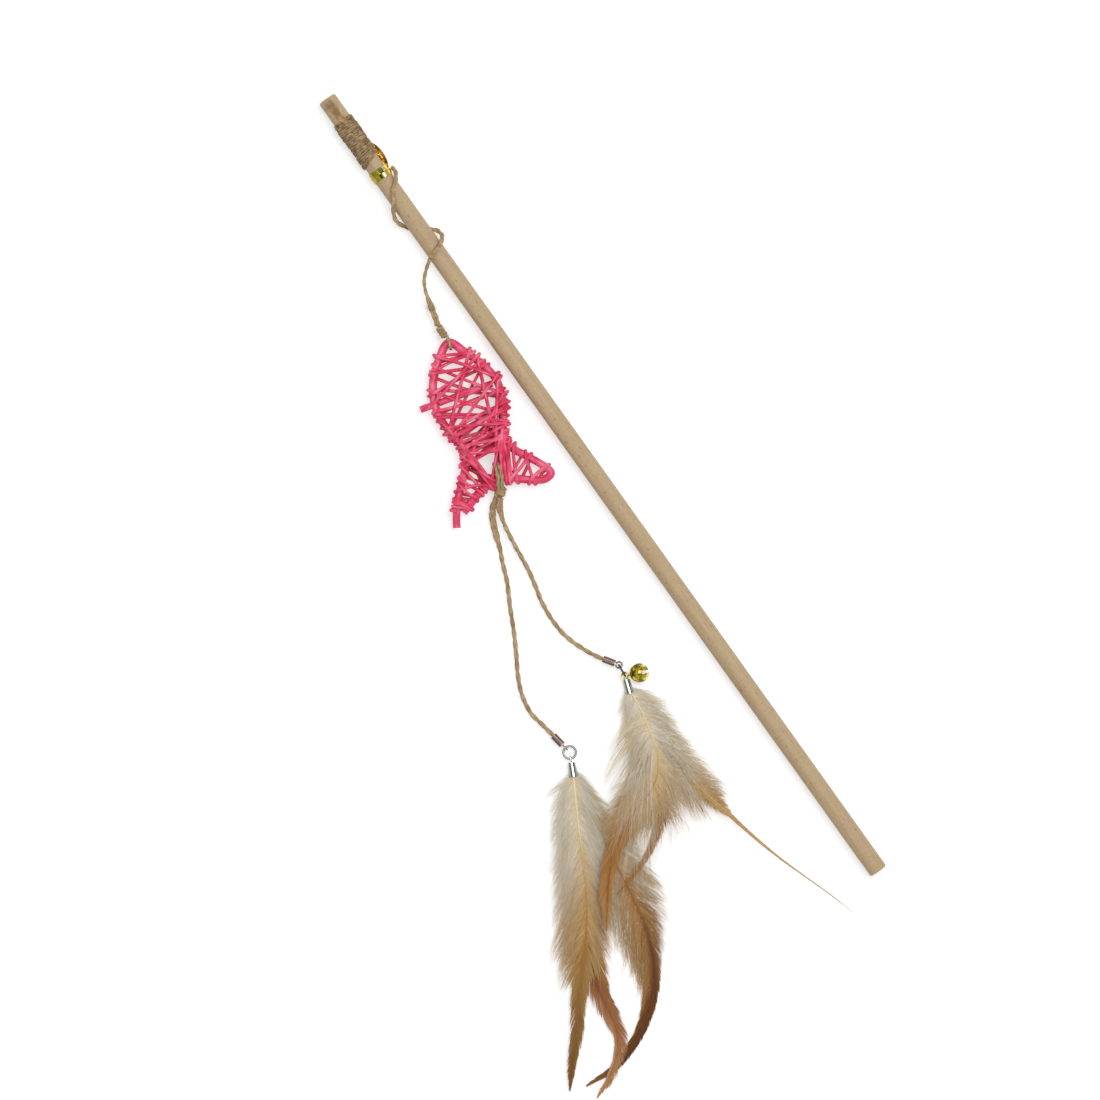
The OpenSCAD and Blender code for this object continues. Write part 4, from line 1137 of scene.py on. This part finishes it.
def grow_feather(kind, spec, tassel, seed):
    name = kind + "_feather"
    rng = np.random.default_rng(seed)
    line = quill_line(*tassel["place"], spec["length"], spec["turns"], *spec["start"])
    quill_piece(name + "_quill", line, spec.get("shaft", SHAFT_R), spec["quill"], tassel)
    finish = barb_finish(name + "_vane", [(0, BASE_IN), *spec["inner"]], [(0, BASE_OUT), *spec["outer"]])
    paths, places, tones, reaches, tapers = [], [], [], [], []
    firm, loose = np.array([(1, 1, 1, 1, .95, .85, .7, .5, .2), (1, 1, .95, .85, .7, .55, .4, .27, .12)])
    for side, widths, far in ((1, spec["left"], spec.get("far_left", 1)), (-1, spec["right"], 1)):
        made = side_barbs(line, widths, side, rng, spec.get("spacing", SPACING), spec.get("lean", LEAN), spec["soft"])
        paths += made[0]
        places += made[1]
        tones += made[2]
        tapers += [firm + (loose - firm) * soft for soft in made[3]]
        reaches += [far] * len(made[0])
    vane = ribbon_piece(name + "_vane", paths, BARB_HALF, tapers, places, tones, finish, tassel, reaches)
    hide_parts(f'{tassel["side"]}_feather_{kind}')
    hairs, roots = down_hairs(line, spec, rng)
    count = len(hairs)
    ribbon_piece(name + "_down", hairs, HAIR_HALF, [np.linspace(1, 0.4, HAIR_PLACES)] * count, roots,
                 rng.random(count), spec.get("fluff", pale_down), tassel, [1] * count)
    print(name, "barbs", len(paths), "down", count)

# %% [markdown]
# ## The two tassels
# Three feathers leave each cap. Their headings along the quill were read off as ten turns each, in degrees, and
# the width of each side of the vane in millimetres at eleven places. The colours run along the quill, once for
# the inside of the vane and once for its edge. "start" is how far beside and above the cap's middle a quill
# leaves it, and how high it lies in the end.

# %% Left tassel
LEFT = {"side": "left", "place": ((113.90, 78.06), -3.6, 154, 7.7), "slot": "feather_tan"}
left_specs = {
    "straight": {
        "length": 135, "start": (0, 0.7, 1.0), "shaft": 0.5,
        "turns": (-4, -3, -2, -4, -10, -16, -16, -13, -18, -15),
        "left": (9, 11, 12, 12, 11, 8, 4, 3.2, 2.7, 2, .3),
        "right": (11, 13, 14, 16, 16, 10.5, 4.4, 3.4, 2.9, 2.2, .3),
        "lean": (1.3, .95, .72, .5, .34, .2), "soft": .5, "down": 3200,
        "quill": [(0, (236, 226, 202)), (.18, (230, 214, 180)), (.28, (204, 176, 128)), (.38, (184, 148, 98)),
                  (.5, (160, 118, 68)), (1, (110, 78, 44))],
        "inner": [(.2, (210, 190, 148)), (.34, (196, 164, 112)), (.46, (182, 142, 88)), (.56, (162, 118, 64)),
                  (.72, (138, 100, 52)), (1, (108, 76, 38))],
        "outer": [(.3, (218, 208, 188)), (.42, (208, 190, 158)), (.52, (192, 164, 120)), (.64, (166, 130, 80)),
                  (1, (128, 92, 46))]},
    "curled": {
        "length": 142, "start": (-0.7, -0.49, -0.3),
        "turns": (-5, -4, -4, -7, -7, 2, 17, 15, -18, -40),
        "left": (5, 8, 10, 12, 11.5, 8.5, 5, 3.6, 3, 2.2, .3),
        "right": (6, 9, 10, 10, 8.5, 6.5, 4.4, 3.4, 3, 2.4, .3),
        "lean": (.9, .76, .6, .45, .3, .2), "soft": .44, "down": 1100, "far_left": .5,
        "quill": [(0, (226, 212, 180)), (.45, (176, 122, 60)), (.62, (110, 60, 28)), (.85, (150, 96, 54)),
                  (1, (170, 124, 70))],
        "inner": [(.2, (204, 180, 138)), (.34, (188, 150, 98)), (.46, (178, 128, 68)), (.58, (136, 84, 42)),
                  (.75, (150, 98, 62)), (1, (176, 126, 72))],
        "outer": [(.25, (210, 192, 158)), (.4, (198, 164, 114)), (.5, (186, 140, 86)), (.62, (172, 122, 84)),
                  (.8, (198, 156, 128)), (1, (204, 166, 124))]},
    "dark": {
        "length": 151, "start": (0.7, -0.49, -1.45),
        "turns": (12, 15, 17, 18, 13, 2, -15, -32, -46, -69),
        "left": (5, 10, 14.5, 13.5, 8, 3.6, 2.2, 1.8, 1.6, 1.4, .3),
        "right": (5, 8, 13, 17, 16, 11, 7, 4.5, 3.2, 2.6, .3),
        "lean": (.9, .76, .62, .48, .34, .24), "soft": .5, "down": 1900, "fluff": tan_down, "far_left": .5,
        "quill": [(0, (214, 196, 160)), (.35, (150, 106, 60)), (.55, (88, 50, 26)), (1, (120, 80, 40))],
        "inner": [(.25, (198, 166, 118)), (.38, (160, 114, 64)), (.48, (122, 76, 38)), (.62, (98, 56, 28)),
                  (.85, (96, 56, 28)), (1, (150, 104, 54))],
        "outer": [(.3, (212, 194, 160)), (.45, (202, 174, 130)), (.56, (182, 142, 92)), (.66, (132, 86, 44)),
                  (.85, (108, 66, 32)), (1, (156, 110, 58))]}}
for k, (kind, spec) in enumerate(left_specs.items()):
    grow_feather(kind, spec, LEFT, 200 + k)

# %% Right tassel
RIGHT = {"side": "right", "place": ((129.06, 39.11), -3.35, 160.4, 7.22), "slot": "feather_brown"}
right_specs = {
    "brown": {
        "length": 110, "start": (0, 0.7, 5.35),
        "turns": (15, 6, 2, -26, -55, -50, -38, -29, -18, -18),
        "left": (9, 12, 14, 15, 13, 8, 4, 3.2, 2.6, 1.8, .3),
        "right": (8, 17, 28, 25, 13, 8, 4.5, 3.8, 3.2, 2, .3),
        "soft": .5, "down": 3200, "lean": (1.35, 1.32, 1.14, .68, .38, .24),
        "quill": [(0, (232, 218, 184)), (.2, (226, 206, 162)), (.3, (204, 170, 118)), (.38, (184, 142, 88)),
                  (.7, (140, 84, 36)), (1, (110, 66, 32))],
        "inner": [(.22, (214, 196, 156)), (.4, (202, 178, 134)), (.5, (188, 152, 100)), (.58, (160, 112, 58)),
                  (.8, (150, 100, 46)), (1, (152, 104, 54))],
        "outer": [(.3, (222, 211, 188)), (.44, (208, 187, 148)), (.52, (184, 144, 92)), (.62, (164, 116, 60)),
                  (.75, (184, 142, 90)), (1, (184, 146, 98))]},
    "bare_tip": {
        "length": 135, "start": (0.7, -0.49, 2.75),
        "turns": (6, 20, 21, 30, 33, 31, 34, 38, 39, 36),
        "left": (6, 10, 11.5, 10.5, 5, 1.0, .7, .5, .4, .3, .2),
        "right": (5, 9, 12.5, 11.5, 4.4, 1.1, .7, .5, .4, .3, .2),
        "soft": .44, "down": 1500, "lean": (.9, .9, .8, .5, .24, .16),
        "quill": [(0, (228, 212, 176)), (.3, (206, 170, 112)), (.45, (196, 158, 104)), (.7, (200, 166, 118)),
                  (1, (206, 178, 140))],
        "inner": [(.18, (210, 190, 148)), (.3, (204, 182, 138)), (.4, (192, 162, 114)), (1, (190, 158, 112))],
        "outer": [(.2, (218, 206, 178)), (.28, (210, 190, 150)), (.36, (186, 150, 98)), (1, (190, 158, 114))]},
    "narrow": {
        "length": 94, "start": (-0.7, -0.49, 4.05),
        "turns": (4, 4, 2, 0, -3, -18, -28, -42, -52, -57),
        "left": (4, 8, 9.5, 10, 9, 6, 2.6, 1.8, 1.3, .9, .3),
        "right": (5, 9, 12, 13, 11, 6.5, 2.8, 1.9, 1.3, .9, .3),
        "soft": .46, "down": 1100, "fluff": tan_down, "spacing": 0.2,
        "quill": [(0, (220, 202, 164)), (.4, (170, 118, 64)), (.7, (136, 84, 42)), (1, (110, 66, 34))],
        "inner": [(.25, (208, 186, 144)), (.42, (184, 140, 88)), (.55, (140, 90, 46)), (.7, (160, 108, 58)),
                  (1, (150, 100, 54))],
        "outer": [(.3, (210, 188, 148)), (.45, (172, 124, 70)), (.6, (164, 112, 60)), (1, (176, 128, 74))]}}
for k, (kind, spec) in enumerate(right_specs.items()):
    grow_feather(kind, spec, RIGHT, 300 + k)

# %% [markdown]
# ## Table and light
# The photograph's ground is pure white with thin soft shadows. The table keeps its shadows, and the camera and
# the mirrors in the metal see a little of its own light added, so that it goes white without burning the object.

# %% Table
TABLE_HALF, TABLE_GLOW = 1.6, 0.54
SEEN_GREY, BOUNCED_GREY = (0.86, 0.86, 0.86, 1), (0.6, 0.6, 0.6, 1)
bm = bmesh.new()
bmesh.ops.create_grid(bm, x_segments=1, y_segments=1, size=TABLE_HALF)
bmesh.ops.translate(bm, verts=bm.verts, vec=(0.19, 0.03, (TABLE_Z - 0.02) * MM))
table_mesh = bpy.data.meshes.new("table")
bm.to_mesh(table_mesh)
bm.free()
table = bpy.data.objects.new("table", table_mesh)
scene.collection.objects.link(table)
white = Finish("white_table")
tree = white.tree
tree.nodes.remove(white.shader)
camera_ray = white.node("LightPath", {}, {}, "Is Camera Ray")
seen = camera_ray + white.node("LightPath", {}, {}, "Is Glossy Ray")
shade = white.blend(camera_ray, SEEN_GREY, BOUNCED_GREY)
diffuse = white.node("BsdfDiffuse", {}, {"Color": shade})
glow = white.node("Emission", {}, {"Color": (1, 1, 1, 1), "Strength": seen.clipped() * TABLE_GLOW})
both = white.node("AddShader", {}, {0: diffuse, 1: glow})
tree.links.new(both.socket, white.end.inputs[0])
table_mesh.materials.append(white.material)
print("table at", round(TABLE_Z - 0.02, 2), "mm")

# %% Window and sky
WINDOW_WAY = Vector((0.164 * 0.3, -0.986 * 0.3, 0.954)).normalized()
WINDOW_AWAY, WINDOW_SIZE, WINDOW_WATTS, SKY_STRENGTH = 1.6, 1.1, 14.0, 0.5
window_data = bpy.data.lights.new("window", "AREA")
window_data.shape = "DISK"
window_data.size = WINDOW_SIZE
window_data.energy = WINDOW_WATTS
window = bpy.data.objects.new("window", window_data)
window.matrix_world = (Matrix.Translation(LOOK_AT + WINDOW_WAY * WINDOW_AWAY)
                       @ WINDOW_WAY.to_track_quat("Z", "Y").to_matrix().to_4x4())
scene.collection.objects.link(window)
world = bpy.data.worlds.new("studio")
scene.world = world
world.use_nodes = True
sky = world.node_tree
sky.nodes.clear()
background = sky.nodes.new("ShaderNodeBackground")
out = sky.nodes.new("ShaderNodeOutputWorld")
background.inputs["Color"].default_value = (1, 1, 1, 1)
background.inputs["Strength"].default_value = SKY_STRENGTH
sky.links.new(background.outputs[0], out.inputs[0])
scene.view_settings.view_transform = "Standard"
print("lamps:", len(bpy.data.lights))

# %% Update the scene
bpy.context.view_layer.update()
